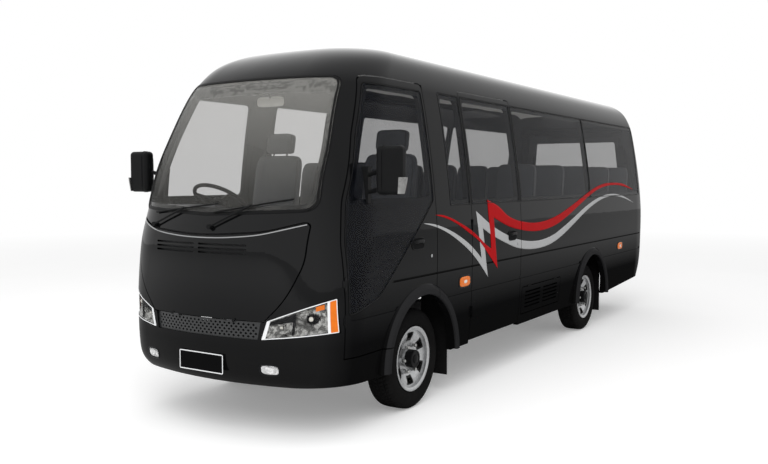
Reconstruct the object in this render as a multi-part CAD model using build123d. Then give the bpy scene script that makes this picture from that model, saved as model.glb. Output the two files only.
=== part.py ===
from build123d import *
import math
import os

import numpy as np

# Minibus on a light-truck chassis. Millimetres, +Z up, front towards -Y, +X is its left side.
# The origin is on the ground, in the middle of the length, on the centre plane.

# --- Overall size -----------------------------------------------------------------------------
LENGTH = 7380
FRONT_OVERHANG = 1330
WHEELBASE = 3850
WAIST_HALF = 958          # half width of the body at its widest
SILL_HALF = 925           # half width at the bottom edge
SILL_Z = 360
WAIST_Z = 1100
BELT_Z = 1500             # foot of the glass
CANT_Z = 2350             # head of the side glass
ROOF_Z = 2694
WALL = 40                 # thickness of body walls, doors and roof
PANE = 6                  # thickness of glass, depth of rebates and grooves
SHUT_GAP = 8              # between a door or lid and the body
PANE_GAP = 4              # between a pane and its rebate
FLANGE = 38               # width of the seat that holds a pane
SEAT_CLEAR = 0.3          # between soft solids and what carries them

FRONT_Y = -LENGTH / 2
REAR_Y = LENGTH / 2
FRONT_AXLE_Y = FRONT_Y + FRONT_OVERHANG
REAR_AXLE_Y = FRONT_AXLE_Y + WHEELBASE

# --- Body corners and bow ---------------------------------------------------------------------
BOW_RADIUS = 2300         # plan radius of the nose between its corners
STERN_RADIUS = 6000       # plan radius of the rear wall
STERN_CORNER = 220
SHOULDER_RISE = 197       # from the side glass up to the shoulder of the roof

# --- Wheels and running gear ------------------------------------------------------------------
TYRE_R = 372
TYRE_WIDTH = 214
RIM_R = 237               # outside of the rim flange
RIM_BEAD_R = 222          # where the tyre sits
WHEEL_X = 772             # centre plane of each wheel
DISC_IN = 52              # wheel disc behind the outer rim edge
HUB_R = 64
KINGPIN_X = 655
KINGPIN_R = 22
PIN_FIT = 0.05            # running fit of a pin, on the radius
STEER_ARM = 190           # from the kingpin back to the tie rod
ARCH_R = 483
FLARE_R = 572
FLARE_OUT = 24            # how far a flare stands out from the waist
RAIL_X = 375              # centre of each frame rail
RAIL_W = 64
RAIL_H = 170
RAIL_TOP = 655
RAIL_T = 8
SLEEPER_FOOT = 785        # underside of the beams that carry the floor
SPRING_W = 60
TOW_Y = 3060              # centre of the tow bar's bolt pattern in each rail
TOW_Z = 570
TOW_STEP_Y = 120
TOW_STEP_Z = 80
TOW_HOLE_R = 7
SPINDLE_R = 28
SPINDLE_END = WHEEL_X + TYRE_WIDTH / 2 - 10 - DISC_IN + 15
DRUM_R = 150
DIFF_R = 160
BEAM_Z = TYRE_R
PINION = 200              # rear axle to the flange of the shaft
SPRING_SEAT = TYRE_R + 60
SPRING_T = 42
SPRING_HALF = 600
SLEEPER_HALF = 860        # half length of the beams under the floor
NOSE_SLEEPER_Y = -3330    # the first of them, between the headlamps
NOSE_SLEEPER_HALF = 780

# --- Floor and seats --------------------------------------------------------------------------
FLOOR_TOP = 905
FLOOR_T = 50
FLOOR_BOTTOM = FLOOR_TOP - FLOOR_T
HUMP_HALF = 330           # engine cover between the front seats
HUMP_TOP = 1120
HUMP_FRONT_Y = -2970
HUMP_REAR_Y = -1960
STEP_X = 620              # inner edge of the entry steps
SEAT_H = 400              # floor to the top of a passenger cushion
CUSHION_T = 110
BACK_T = 100
BACK_H = 620
DOUBLE_X = 445            # centre of the double seats, on the right
DOUBLE_W = 780
SINGLE_X = 620            # centre of the single seats, on the left
SINGLE_W = 430
FRONT_SEAT_Y = -2420
FRONT_SEAT_BASE = 330
ROW_PITCH = 790
LAST_ROW_Y = 3020

# --- Doors and panels -------------------------------------------------------------------------
ROOF_SPLIT = 2400
BROW_SPLIT = 2280
SHUT_Y = -3312            # front edge of the front doors
DOOR_REAR_Y = -2165
DOOR_FOOT = 550
ENTRY_FRONT_Y = -1562
ENTRY_REAR_Y = -564
ENTRY_FOOT = 385
STERN_SPLIT = 3400        # side walls end, rear wall begins
BUMPER_TOP = 672
REAR_BUMPER_TOP = 640
GRILLE_TOP = 786
GRILLE_HALF = 462
GRILLE_T = 12
GRILLE_IN = 14
HATCH_T = 14
BAND_FRONT = -1930
BAND_REAR = 3372
BAND_FOOT = 1495
BAND_HEAD = 2362
PILLAR_Y = 1420           # between the two long panes
LINE_Z = 995              # dark line along the waist
LINE_H = 14
GROOVE_Z = 803            # groove above the skirt
GROOVE_H = 26
LID_FRONT_Y = -505
LID_REAR_Y = 485
LID_FOOT = 455
LID_HEAD = 700
PANE_RIM = 12             # entry door edge to its pane
HATCH_LIFT = 4            # more room above the hatch, which rises as it swings down
LID_T = 25
HINGE_R = 5
HINGE_PIN_R = 2.5
HINGE_LEN = 44            # half of a hinge, which is also its middle knuckle
HINGE_LEAF = 22           # how deep a leaf reaches into the panels
HINGE_REACH = 13
DOOR_RIM = 24             # front door edge to its pane
MID_Z = 1290              # up to here the door's front edge stands upright
RAKE_Z = 1560
HEAD_Z = 1990
LAMP_REAR_Y = SHUT_Y - 26  # the headlamps end ahead of the door hinges
DOOR_SWEEP = 9            # floor edge to the inner face of the front doors, which swings past it
MESH_PITCH = 37           # openings of the grille's mesh, along and up
MESH_RISE = 19
MESH_W = 23
MESH_H = 18

# --- Steering column and outside fittings -------------------------------------------------------
WHEEL_AT = (-550, -2870, 1530)      # centre of the steering wheel
WHEEL_TILT = 35                     # from level
STEERING_R = 215
SHAFT_R = 18
SLEEVE_TOP = 60                     # below the wheel, along the column
SHAFT_END = 110
MIRROR_AT = (1140, -3120, 1755)
WIPERS = [   # places on the windscreen, each (x, z): spindle, middle, and the ends of the blade
    ((-490, 1388), (-206, 1504), (98, 1538), (-510, 1470)),
    ((75, 1388), (358, 1526), (640, 1572), (76, 1480)),
]


# --- Helpers ----------------------------------------------------------------------------------
def block(x0, x1, y0, y1, z0, z1):
    """Box between two opposite corners."""
    return Pos((x0 + x1) / 2, (y0 + y1) / 2, (z0 + z1) / 2) * Box(x1 - x0, y1 - y0, z1 - z0)


def rod_x(radius, x0, x1, y, z):
    """Round bar along X."""
    return Pos((x0 + x1) / 2, y, z) * Rot(0, 90, 0) * Cylinder(radius, abs(x1 - x0))


def rod_y(radius, y0, y1, x, z):
    """Round bar along Y."""
    return Pos(x, (y0 + y1) / 2, z) * Rot(90, 0, 0) * Cylinder(radius, abs(y1 - y0))


def rod_z(radius, z0, z1, x, y):
    """Round bar along Z."""
    return Pos(x, y, (z0 + z1) / 2) * Cylinder(radius, abs(z1 - z0))


def bar(start, end, radius):
    """Round bar between two points."""
    line = Line(start, end)
    return sweep(Plane(origin=start, z_dir=line % 0) * Circle(radius), path=line)


def mirrored(shape):
    """The same shape on the other side of the centre plane."""
    return mirror(shape, about=Plane.YZ)


def solids(*shapes):
    """One compound of every solid in the shapes."""
    found = []
    for shape in shapes:
        found.extend(shape.solids())
    return Compound(found)


def outline(points, radii):
    """Closed plane outline, with one radius for all of its corners or a list of them."""
    face = make_face(Polyline(*points, close=True))
    if not isinstance(radii, list):
        radii = [radii] * len(points)
    for (u, v), radius in zip(points, radii):
        if radius > 0:
            corner = face.vertices().sort_by_distance((u, v, 0))[0]
            face = fillet(corner, radius)
    return face


def cut(shape, tools):
    """The shape with each tool taken from it, one after the other."""
    for tool in tools:
        shape = shape - tool
    return shape


def side_prism(face, x0=300, x1=1300):
    """Outline in (y, z) pushed out through the left side of the body."""
    return extrude(Plane.YZ.offset(x0) * face, amount=x1 - x0)


def front_prism(face, y0=-2800, y1=-4200):
    """Outline in (x, z) pushed forwards through the nose."""
    return extrude(Plane.XZ.offset(-y0) * face, amount=y0 - y1)


def rear_prism(face, y0=3000, y1=4200):
    """Outline in (x, z) pushed backwards through the rear wall."""
    return extrude(Plane.XZ.offset(-y1) * face, amount=y1 - y0)


def monotone(points):
    """Smooth curve through (height, value) points that never overshoots between them."""
    h = np.array([p[0] for p in points], float)
    v = np.array([p[1] for p in points], float)
    step = np.diff(h)
    slope = np.diff(v) / step
    grade = np.zeros_like(v)
    grade[0] = slope[0]
    grade[-1] = slope[-1]
    for i in range(1, len(v) - 1):
        if slope[i - 1] * slope[i] > 0:
            w1 = 2 * step[i] + step[i - 1]
            w2 = step[i] + 2 * step[i - 1]
            grade[i] = (w1 + w2) / (w1 / slope[i - 1] + w2 / slope[i])

    def curve(z):
        z = np.clip(z, h[0], h[-1])
        i = np.clip(np.searchsorted(h, z) - 1, 0, len(step) - 1)
        t = (z - h[i]) / step[i]
        rise = (1 + 2 * t) * (1 - t) ** 2 * v[i] + t * (1 - t) ** 2 * step[i] * grade[i]
        return rise + t * t * (3 - 2 * t) * v[i + 1] + t * t * (t - 1) * step[i] * grade[i + 1]

    return curve


# --- Shape of the body ------------------------------------------------------------------------
SHOULDER_Z = CANT_Z + SHOULDER_RISE
DOME_Z = ROOF_Z - 76
BROW_Z = ROOF_Z - 31
CAP_Z = ROOF_Z - 10

SIDE = monotone([
    (SILL_Z, SILL_HALF),
    (700, WAIST_HALF - 8),
    (WAIST_Z, WAIST_HALF),
    (WAIST_Z + 160, WAIST_HALF - 1),
    (BELT_Z, WAIST_HALF - 15),
    (1960, WAIST_HALF - 70),
    (CANT_Z, WAIST_HALF - 138),
    (SHOULDER_Z, WAIST_HALF - 193),
    (DOME_Z, WAIST_HALF - 278),
    (BROW_Z, WAIST_HALF - 418),
    (CAP_Z, WAIST_HALF - 568),
    (ROOF_Z, 290),
])
NOSE = monotone([
    (SILL_Z, FRONT_Y + 110),
    (560, FRONT_Y + 25),
    (850, FRONT_Y + 32),
    (1250, FRONT_Y + 27),
    (BELT_Z, FRONT_Y + 100),
    (1750, FRONT_Y + 195),
    (2150, FRONT_Y + 385),
    (CANT_Z, FRONT_Y + 505),
    (SHOULDER_Z, FRONT_Y + 730),
    (DOME_Z, FRONT_Y + 885),
    (BROW_Z, FRONT_Y + 1080),
    (CAP_Z, FRONT_Y + 1280),
    (ROOF_Z, FRONT_Y + 1430),
])
STERN = monotone([
    (SILL_Z, REAR_Y - 120),
    (700, REAR_Y - 10),
    (WAIST_Z, REAR_Y),
    (BELT_Z, REAR_Y - 6),
    (2000, REAR_Y - 38),
    (CANT_Z, REAR_Y - 85),
    (SHOULDER_Z, REAR_Y - 320),
    (DOME_Z, REAR_Y - 500),
    (BROW_Z, REAR_Y - 700),
    (CAP_Z, REAR_Y - 900),
    (ROOF_Z, REAR_Y - 1050),
])
CORNER = monotone([
    (SILL_Z, 440),
    (900, 450),
    (1350, 600),
    (1750, 480),
    (CANT_Z, 470),
    (DOME_Z, 420),
    (BROW_Z, 340),
    (CAP_Z, 240),
    (ROOF_Z, 180),
])
LEVELS = [SILL_Z, 520, 700, 900, WAIST_Z, 1300, BELT_Z, 1750, 2000, 2200, CANT_Z,
          (CANT_Z + SHOULDER_Z) / 2, SHOULDER_Z, DOME_Z, BROW_Z, CAP_Z, ROOF_Z]


def inset_curve(curve, inset, outward):
    """The profile moved inwards by the inset, measured square to the skin."""
    z = np.linspace(SILL_Z, ROOF_Z, 600)
    v = curve(z)
    grade = np.gradient(v, z)
    run = np.hypot(1, grade)
    moved_z = z + outward * inset * grade / run
    moved_v = v - outward * inset / run
    return lambda level: float(np.interp(level, moved_z, moved_v))


def plan_outline(z, half, nose, stern, corner, inset):
    """Closed plan outline of the body: nose arc, corners, straight sides and stern arc."""
    bow = BOW_RADIUS - inset
    rc = min(max(corner - inset, 20), half * 0.85)
    xc = half - rc
    yc = nose + bow - math.sqrt((bow - rc) ** 2 - xc ** 2)
    a = math.atan2(xc, nose + bow - yc)
    aft = STERN_RADIUS - inset
    rs = min(max(STERN_CORNER - inset, 20), half * 0.8)
    xs = half - rs
    ys = stern - aft + math.sqrt((aft - rs) ** 2 - xs ** 2)
    b = math.atan2(xs, ys - stern + aft)
    a2 = (a + math.pi / 2) / 2
    b2 = (b + math.pi / 2) / 2
    n1 = (bow * math.sin(a), nose + bow * (1 - math.cos(a)))
    n2 = (xc + rc * math.sin(a2), yc - rc * math.cos(a2))
    s1 = (xs + rs * math.sin(b2), ys + rs * math.cos(b2))
    s2 = (aft * math.sin(b), stern - aft * (1 - math.cos(b)))
    edges = [
        ThreePointArc((-n1[0], n1[1]), (0, nose), n1),
        ThreePointArc(n1, n2, (half, yc)),
        Line((half, yc), (half, ys)),
        ThreePointArc((half, ys), s1, s2),
        ThreePointArc(s2, (0, stern), (-s2[0], s2[1])),
        ThreePointArc((-s2[0], s2[1]), (-s1[0], s1[1]), (-half, ys)),
        Line((-half, ys), (-half, yc)),
        ThreePointArc((-half, yc), (-n2[0], n2[1]), (-n1[0], n1[1])),
    ]
    return Pos(0, 0, z) * make_face(edges)


def body_solid(inset, foot=None, levels=None):
    """The body as one solid, inset from its skin; the foot lets it reach below the sill."""
    side = inset_curve(SIDE, inset, 1)
    nose = inset_curve(NOSE, inset, -1)
    stern = inset_curve(STERN, inset, 1)
    shrink = (ROOF_Z - inset - CANT_Z) / (ROOF_Z - CANT_Z)
    sections = []
    for level in levels or LEVELS:
        z = level if level <= CANT_Z else CANT_Z + (level - CANT_Z) * shrink
        corner = float(CORNER(level))
        sections.append(plan_outline(z, side(z), nose(z), stern(z), corner, inset))
    if foot is not None:
        sections.insert(0, Pos(0, 0, foot - SILL_Z) * sections[0])
    return loft(sections)


# --- Outlines of doors, panes and panels ------------------------------------------------------
def door_outline():
    """Front door in side view; its front edge rakes back with the windscreen pillar."""
    points = [(SHUT_Y, DOOR_FOOT), (SHUT_Y, MID_Z), (SHUT_Y + 50, RAKE_Z), (SHUT_Y + 212, HEAD_Z),
              (SHUT_Y + 412, ROOF_SPLIT), (DOOR_REAR_Y, ROOF_SPLIT), (DOOR_REAR_Y, DOOR_FOOT)]
    return outline(points, [0, 450, 600, 800, 70, 45, 0])


def door_pane_outline():
    """Pane of a front door: its foot sweeps down from the rear to the front corner."""
    front = SHUT_Y + DOOR_RIM
    rear = DOOR_REAR_Y - DOOR_RIM
    head = ROOF_SPLIT - 2 * DOOR_RIM
    points = [(front, 822), (front, MID_Z), (front + 49, RAKE_Z - 4), (front + 210, HEAD_Z - 6),
              (front + 391, head), (rear, head), (rear, BELT_Z + 38), (front + 329, 908)]
    return outline(points, [18, 450, 600, 800, 50, 30, 25, 250])


def door_daylight():
    """What can be seen through above the belt of a front door."""
    front = SHUT_Y + DOOR_RIM + FLANGE
    rear = DOOR_REAR_Y - DOOR_RIM - FLANGE
    head = ROOF_SPLIT - 2 * DOOR_RIM - FLANGE
    points = [(front + 56, BELT_Z + 66), (front + 214, HEAD_Z), (front + 376, head),
              (rear, head), (rear, BELT_Z + 66)]
    return outline(points, [40, 800, 40, 40, 40])


def entry_outline():
    """Entry door in side view."""
    points = [(ENTRY_FRONT_Y, ENTRY_FOOT), (ENTRY_FRONT_Y, ROOF_SPLIT),
              (ENTRY_REAR_Y, ROOF_SPLIT), (ENTRY_REAR_Y, ENTRY_FOOT)]
    return outline(points, [12, 25, 25, 12])


def band_pane(y0, y1, inset=0):
    """Pane of the side band between two places along the body."""
    points = [(y0 + inset, BAND_FOOT + inset), (y0 + inset, BAND_HEAD - inset),
              (y1 - inset, BAND_HEAD - inset), (y1 - inset, BAND_FOOT + inset)]
    return outline(points, 16 + inset / 2)


def windscreen_outline():
    """Windscreen in front view: wide at the foot, with round corners."""
    points = [(-764, BELT_Z), (0, BELT_Z - 32), (764, BELT_Z), (750, 1880), (672, BAND_HEAD + 30),
              (-672, BAND_HEAD + 30), (-750, 1880)]
    return outline(points, [85, 3000, 85, 900, 85, 85, 900])


def rear_window_outline():
    """Rear window in rear view."""
    points = [(-660, BELT_Z), (660, BELT_Z), (590, 2230), (-590, 2230)]
    return outline(points, 70)


def hatch_outline():
    """Front hatch: bowed along its top, tapered down to the grille."""
    foot = GRILLE_TOP + SHUT_GAP
    half = [(488, foot), (645, 955), (738, 1170), (742, 1424), (500, 1358)]
    radii = [18, 600, 350, 25, 900]
    left = [(-x, z) for x, z in reversed(half)]
    return outline(half + [(0, 1324)] + left, radii + [3000] + radii[::-1])


def grille_outline():
    """Grille strip between the headlamps."""
    points = [(-GRILLE_HALF + 16, BUMPER_TOP), (GRILLE_HALF - 16, BUMPER_TOP),
              (GRILLE_HALF + 6, GRILLE_TOP), (-GRILLE_HALF - 6, GRILLE_TOP)]
    return outline(points, 0)


def headlamp_outline():
    """Left headlamp in front view: it rises and widens towards the corner."""
    points = [(GRILLE_HALF + 8, BUMPER_TOP + 2), (512, 800), (896, 950), (905, BUMPER_TOP + 50)]
    return outline(points, [0, 14, 14, 0])


def bumper_outline():
    """Front view of everything below the top edge of the front bumper."""
    points = [(-1200, 200), (1200, 200), (1200, BUMPER_TOP + 50), (905, BUMPER_TOP + 50),
              (GRILLE_HALF + 8, BUMPER_TOP + 2), (GRILLE_HALF + 4, BUMPER_TOP),
              (-GRILLE_HALF - 4, BUMPER_TOP), (-GRILLE_HALF - 8, BUMPER_TOP + 2),
              (-905, BUMPER_TOP + 50), (-1200, BUMPER_TOP + 50)]
    return outline(points, 0)


def fog_outline():
    """Left fog lamp in front view."""
    return Pos(525, 484) * RectangleRounded(148, 84, 38)


def tail_lamp_outline():
    """Left tail lamp in rear view."""
    return Pos(815, 1150) * RectangleRounded(130, 420, 30)


def lid_outline():
    """Vented service lid in side view."""
    centre_y = (LID_FRONT_Y + LID_REAR_Y) / 2
    centre_z = (LID_FOOT + LID_HEAD) / 2
    return Pos(centre_y, centre_z) * RectangleRounded(LID_REAR_Y - LID_FRONT_Y, LID_HEAD - LID_FOOT, 18)


def grown(face, by=SHUT_GAP):
    """The outline grown by a gap all round."""
    return offset(face, amount=by, kind=Kind.INTERSECTION)


# --- Shapes that several pieces share ---------------------------------------------------------
class Skins:
    """The body's skin, its inner face and the tools that cut panels and panes from them."""

    def __init__(self):
        self.outer = body_solid(0)
        self.inner = body_solid(WALL, foot=SILL_Z - 60)
        self.deep = body_solid(PANE, foot=SILL_Z - 60)
        self.wall = self.outer - self.inner
        self.left_wall = self.wall & block(0, 1200, SHUT_Y - 60, STERN_SPLIT, 200, ROOF_SPLIT + 40)
        self.nose_wall = self.wall & block(-1200, 1200, -4000, -2600, 200, 2900)
        self.stern_wall = self.wall & block(-1200, 1200, STERN_SPLIT, 4000, 200, ROOF_SPLIT)

    def pane(self, prism):
        """Glass flush with the skin inside a prism."""
        return (self.outer & prism) - self.deep

    def seat(self, prism_of, face, daylight):
        """Rebate for a pane and the daylight opening inside it."""
        return [prism_of(daylight), prism_of(grown(face, PANE_GAP)) - self.deep]

    def grooves(self):
        """Dark line along the left waist and the groove above the skirt."""
        line = block(600, 1200, SHUT_Y + 500, STERN_SPLIT, LINE_Z - LINE_H / 2, LINE_Z + LINE_H / 2)
        groove = block(600, 1200, SHUT_Y + 40, STERN_SPLIT, GROOVE_Z - GROOVE_H / 2,
                       GROOVE_Z + GROOVE_H / 2)
        return [line - self.deep, groove - self.deep]


def windscreen_seat(skins):
    """Rebate and daylight of the windscreen."""
    face = windscreen_outline()
    return skins.seat(front_prism, face, offset(face, amount=-FLANGE))


def arch_void(axle_y):
    """Round opening of a wheel arch, through both sides."""
    return rod_x(ARCH_R, -1300, -300, axle_y, TYRE_R) + rod_x(ARCH_R, 300, 1300, axle_y, TYRE_R)


def flare(axle_y):
    """Blister round the left arch, down to the sill."""
    root = WAIST_HALF - WALL
    lip = WAIST_HALF + FLARE_OUT
    profile = [(root, ARCH_R), (lip, ARCH_R), (lip, FLARE_R - 40), (root + 30, FLARE_R), (root, FLARE_R)]
    face = outline([(x, TYRE_R + r) for x, r in profile], [0, 12, 24, 16, 0])
    ring = revolve(Plane.XZ.offset(-axle_y) * face, axis=Axis((0, axle_y, TYRE_R), (1, 0, 0)))
    return ring & block(0, 1300, axle_y - 700, axle_y + 700, SILL_Z + 12, 1200)


def rear_rise():
    """The underside climbs behind the rear wheels."""
    points = [(REAR_AXLE_Y + ARCH_R + 20, SILL_Z), (REAR_Y + 100, SILL_Z + 85),
              (REAR_Y + 100, 100), (REAR_AXLE_Y + ARCH_R + 20, 100)]
    return side_prism(outline(points, 0), -1300, 1300)


# --- Hinges -----------------------------------------------------------------------------------
class Hinge:
    """Pinned hinge along the frame's Z; the fixed leaf reaches to -Y, the moving one to +Y.

    The pin lies at the skin, and the leaves reach inwards from it, to the frame's -X side.
    """

    def __init__(self, frame):
        place = Location(frame)
        half = HINGE_LEN / 2
        moving = []
        for z0, z1 in ((-HINGE_LEN, -half - SEAT_CLEAR), (half + SEAT_CLEAR, HINGE_LEN)):
            moving.append(rod_z(HINGE_R, z0, z1, 0, 0) + block(-HINGE_LEAF, 0, 0, HINGE_REACH, z0, z1))
        bore = rod_z(HINGE_PIN_R + PIN_FIT, -HINGE_LEN - 1, HINGE_LEN + 1, 0, 0)
        pin = rod_z(HINGE_PIN_R, 2 - HINGE_LEN, HINGE_LEN - 2, 0, 0)
        fixed = rod_z(HINGE_R, -half, half, 0, 0) + block(-HINGE_LEAF, 0, -HINGE_REACH, 0, -half, half)
        self.moving = place * (moving[0] + moving[1] - bore)
        self.fixed = place * (fixed + pin)
        self.relief = place * rod_z(HINGE_R + 1.5, -HINGE_LEN - 1.5, HINGE_LEN + 1.5, 0, 0)


def upright_hinge(x, y, z):
    """Hinge of a door on the left side, with the door behind it."""
    return Hinge(Plane(origin=(x, y, z), x_dir=(1, 0, 0), z_dir=(0, 0, 1)))


DOOR_HINGE_X = WAIST_HALF - 37
DOOR_HINGE_Y = SHUT_Y - SHUT_GAP / 2
ENTRY_HINGE_X = WAIST_HALF + 2
ENTRY_HINGE_Y = ENTRY_FRONT_Y - SHUT_GAP / 2
HATCH_HINGE_Y = FRONT_Y + 41
HATCH_HINGE_Z = GRILLE_TOP + SHUT_GAP / 2
LID_HINGE_X = WAIST_HALF - 6
LID_HINGE_Z = LID_HEAD + SHUT_GAP / 2
DOOR_HINGES = [upright_hinge(DOOR_HINGE_X, DOOR_HINGE_Y, z) for z in (790, 1030)]
ENTRY_HINGES = [upright_hinge(ENTRY_HINGE_X, ENTRY_HINGE_Y, z) for z in (620, 1330)]
HATCH_HINGES = [Hinge(Plane(origin=(x, HATCH_HINGE_Y, HATCH_HINGE_Z), x_dir=(0, -1, 0),
                            z_dir=(-1, 0, 0))) for x in (-240, 240)]
LID_HINGES = [Hinge(Plane(origin=(LID_HINGE_X, y, LID_HINGE_Z), x_dir=(1, 0, 0),
                          z_dir=(0, 1, 0))) for y in (LID_FRONT_Y + 160, LID_REAR_Y - 160)]


# --- Body panels ------------------------------------------------------------------------------
def make_cab_front(skins):
    """Nose above the bumper with the windscreen pillars, the cowl and the lamp surrounds."""
    zone = front_prism(outline([(-1200, BUMPER_TOP + 50), (-905, BUMPER_TOP + 50),
                                (-GRILLE_HALF - 8, BUMPER_TOP + 2), (-GRILLE_HALF - 4, BUMPER_TOP),
                                (GRILLE_HALF + 4, BUMPER_TOP), (GRILLE_HALF + 8, BUMPER_TOP + 2),
                                (905, BUMPER_TOP + 50), (1200, BUMPER_TOP + 50),
                                (1200, BROW_SPLIT), (-1200, BROW_SPLIT)], 0))
    panel = skins.nose_wall & zone
    doors = side_prism(grown(door_outline()))
    lamps = front_prism(headlamp_outline(), LAMP_REAR_Y)
    panel = cut(panel, [doors, mirrored(doors), lamps, mirrored(lamps)])
    hatch = front_prism(grown(hatch_outline()), SHUT_Y - 16)
    panel = cut(panel, [hatch, Pos(0, 0, HATCH_LIFT) * hatch, front_prism(grille_outline(), SHUT_Y - 16)])
    panel = cut(panel, windscreen_seat(skins))
    for hinge in DOOR_HINGES:
        panel = panel - [hinge.relief, mirrored(hinge.relief)] + [hinge.fixed, mirrored(hinge.fixed)]
    return panel


def make_roof(skins):
    """Roof with the brow over the windscreen and the drip rails over the doors."""
    top = skins.wall & block(-1200, 1200, -4000, 4000, ROOF_SPLIT, 2900)
    brow = skins.nose_wall & block(-1200, 1200, -4000, SHUT_Y + 480, BROW_SPLIT, ROOF_SPLIT)
    doors = side_prism(grown(door_outline()))
    entry = side_prism(grown(entry_outline()))
    panel = top + brow
    panel = cut(panel, [doors, mirrored(doors), entry])
    panel = cut(panel, windscreen_seat(skins))
    return panel


def make_side(skins):
    """Left side from the rear of the front door to the rear wall, without its doors and panes."""
    panel = skins.left_wall & block(0, 1200, DOOR_REAR_Y + SHUT_GAP, STERN_SPLIT, 200, ROOF_SPLIT)
    panel = cut(panel, skins.grooves())
    panel = cut(panel, [arch_void(FRONT_AXLE_Y), arch_void(REAR_AXLE_Y), rear_rise()])
    for y0, y1 in ((ENTRY_REAR_Y + 20, PILLAR_Y - 5), (PILLAR_Y + 5, BAND_REAR)):
        panel = cut(panel, skins.seat(side_prism, band_pane(y0, y1), band_pane(y0, y1, FLANGE)))
    return panel


def flares_on_side():
    """The parts of both left flares that belong to the side wall."""
    front = flare(FRONT_AXLE_Y) & block(0, 1300, DOOR_REAR_Y + SHUT_GAP, ENTRY_FRONT_Y, 200, 1200)
    return [front, flare(REAR_AXLE_Y)]


def make_side_left(skins, side):
    """Left side, with the doorway and the opening for the service lid."""
    doorway = side_prism(grown(entry_outline()))
    step_gap = block(300, 1200, ENTRY_FRONT_Y - SHUT_GAP, ENTRY_REAR_Y + SHUT_GAP, 200, ENTRY_FOOT)
    panel = cut(side, [doorway, step_gap, side_prism(grown(lid_outline()))])
    y1 = ENTRY_FRONT_Y - 20
    panel = cut(panel, skins.seat(side_prism, band_pane(BAND_FRONT, y1),
                                   band_pane(BAND_FRONT, y1, FLANGE)))
    for hinge in ENTRY_HINGES + LID_HINGES:
        panel = panel - hinge.relief + hinge.fixed
    return panel + flares_on_side()


def make_side_right(skins, side):
    """Right side: a pane where the left side has its entry door."""
    y1 = ENTRY_REAR_Y + 10
    panel = cut(side, skins.seat(side_prism, band_pane(BAND_FRONT, y1),
                                 band_pane(BAND_FRONT, y1, FLANGE)))
    return mirrored(panel + flares_on_side())


def make_rear_wall(skins):
    """Rear wall above the bumper, with the window and lamp openings."""
    panel = skins.stern_wall & block(-1200, 1200, STERN_SPLIT, 4000, REAR_BUMPER_TOP, ROOF_SPLIT)
    panel = cut(panel, skins.seat(rear_prism, rear_window_outline(),
                                  offset(rear_window_outline(), amount=-FLANGE)))
    lamp = rear_prism(tail_lamp_outline(), STERN_SPLIT + 20)
    return cut(panel, [lamp, mirrored(lamp)])


def make_rear_bumper(skins):
    """Wrapped lower rear of the body."""
    return (skins.stern_wall & block(-1200, 1200, STERN_SPLIT, 4000, 200, REAR_BUMPER_TOP)) - rear_rise()


def make_front_bumper(skins):
    """Deep bumper that wraps round to the front arches."""
    ahead = front_prism(bumper_outline(), SHUT_Y - SHUT_GAP)
    below = block(-1200, 1200, SHUT_Y - SHUT_GAP, FRONT_AXLE_Y, 200, DOOR_FOOT - SHUT_GAP)
    panel = skins.nose_wall & (ahead + below)
    fog = front_prism(fog_outline(), SHUT_Y)
    lip = flare(FRONT_AXLE_Y) & block(0, 1300, SHUT_Y, FRONT_AXLE_Y, 200, DOOR_FOOT - SHUT_GAP)
    panel = cut(panel, [arch_void(FRONT_AXLE_Y), fog, mirrored(fog)])
    return panel + [lip, mirrored(lip)]


def mesh_openings():
    """Prisms of the grille's diamond openings: five rows, every other one half a pitch along."""
    diamond = make_face(Polyline([(-MESH_W / 2, 0), (0, -MESH_H / 2), (MESH_W / 2, 0), (0, MESH_H / 2)],
                                 close=True))
    middle = (BUMPER_TOP + GRILLE_TOP) / 2
    prisms = []
    for row in range(-2, 3):
        shift = MESH_PITCH / 2 if row % 2 else 0
        for column in range(-12, 13):
            x = column * MESH_PITCH + shift
            if abs(x) < GRILLE_HALF - 24:
                prisms.append(front_prism(Pos(x, middle + row * MESH_RISE) * diamond, SHUT_Y))
    return prisms


def make_grille(skins):
    """Grille strip set back between the lamps, with the fixed halves of the hatch hinges."""
    near = [BUMPER_TOP - 150, BUMPER_TOP, GRILLE_TOP, GRILLE_TOP + 150]
    plate = body_solid(GRILLE_IN, levels=near) - body_solid(GRILLE_IN + GRILLE_T, levels=near)
    panel = plate & front_prism(grille_outline(), SHUT_Y)
    panel -= mesh_openings()
    for hinge in HATCH_HINGES:
        panel += hinge.fixed
    return panel


def make_front_hatch(skins):
    """Hatch under the windscreen, with two groups of air slots."""
    panel = (skins.nose_wall - body_solid(HATCH_T)) & front_prism(hatch_outline())
    slots = []
    for x in (-248, 178):
        for z in (1222, 1249, 1276):
            slots.append(front_prism(Pos(x, z) * RectangleRounded(390, 13, 6), SHUT_Y))
    panel -= slots
    for hinge in HATCH_HINGES:
        panel = panel - hinge.relief + hinge.moving
    return panel


def make_front_door(skins):
    """Left front door with its part of the flare."""
    leaf = side_prism(door_outline())
    panel = skins.left_wall & leaf
    line, groove = skins.grooves()
    panel = cut(panel, [arch_void(FRONT_AXLE_Y), line, groove])
    panel = cut(panel, skins.seat(side_prism, door_pane_outline(), door_daylight()))
    panel += flare(FRONT_AXLE_Y) & leaf
    for hinge in DOOR_HINGES:
        panel = panel - hinge.relief + hinge.moving
    return panel


def make_entry_door(skins):
    """Entry door in the left side."""
    panel = skins.left_wall & side_prism(entry_outline())
    panel = cut(panel, skins.grooves())
    y0 = ENTRY_FRONT_Y + PANE_RIM
    y1 = ENTRY_REAR_Y - PANE_RIM
    panel = cut(panel, skins.seat(side_prism, band_pane(y0, y1), band_pane(y0, y1, FLANGE)))
    for hinge in ENTRY_HINGES:
        panel = panel - hinge.relief + hinge.moving
    return panel


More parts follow.
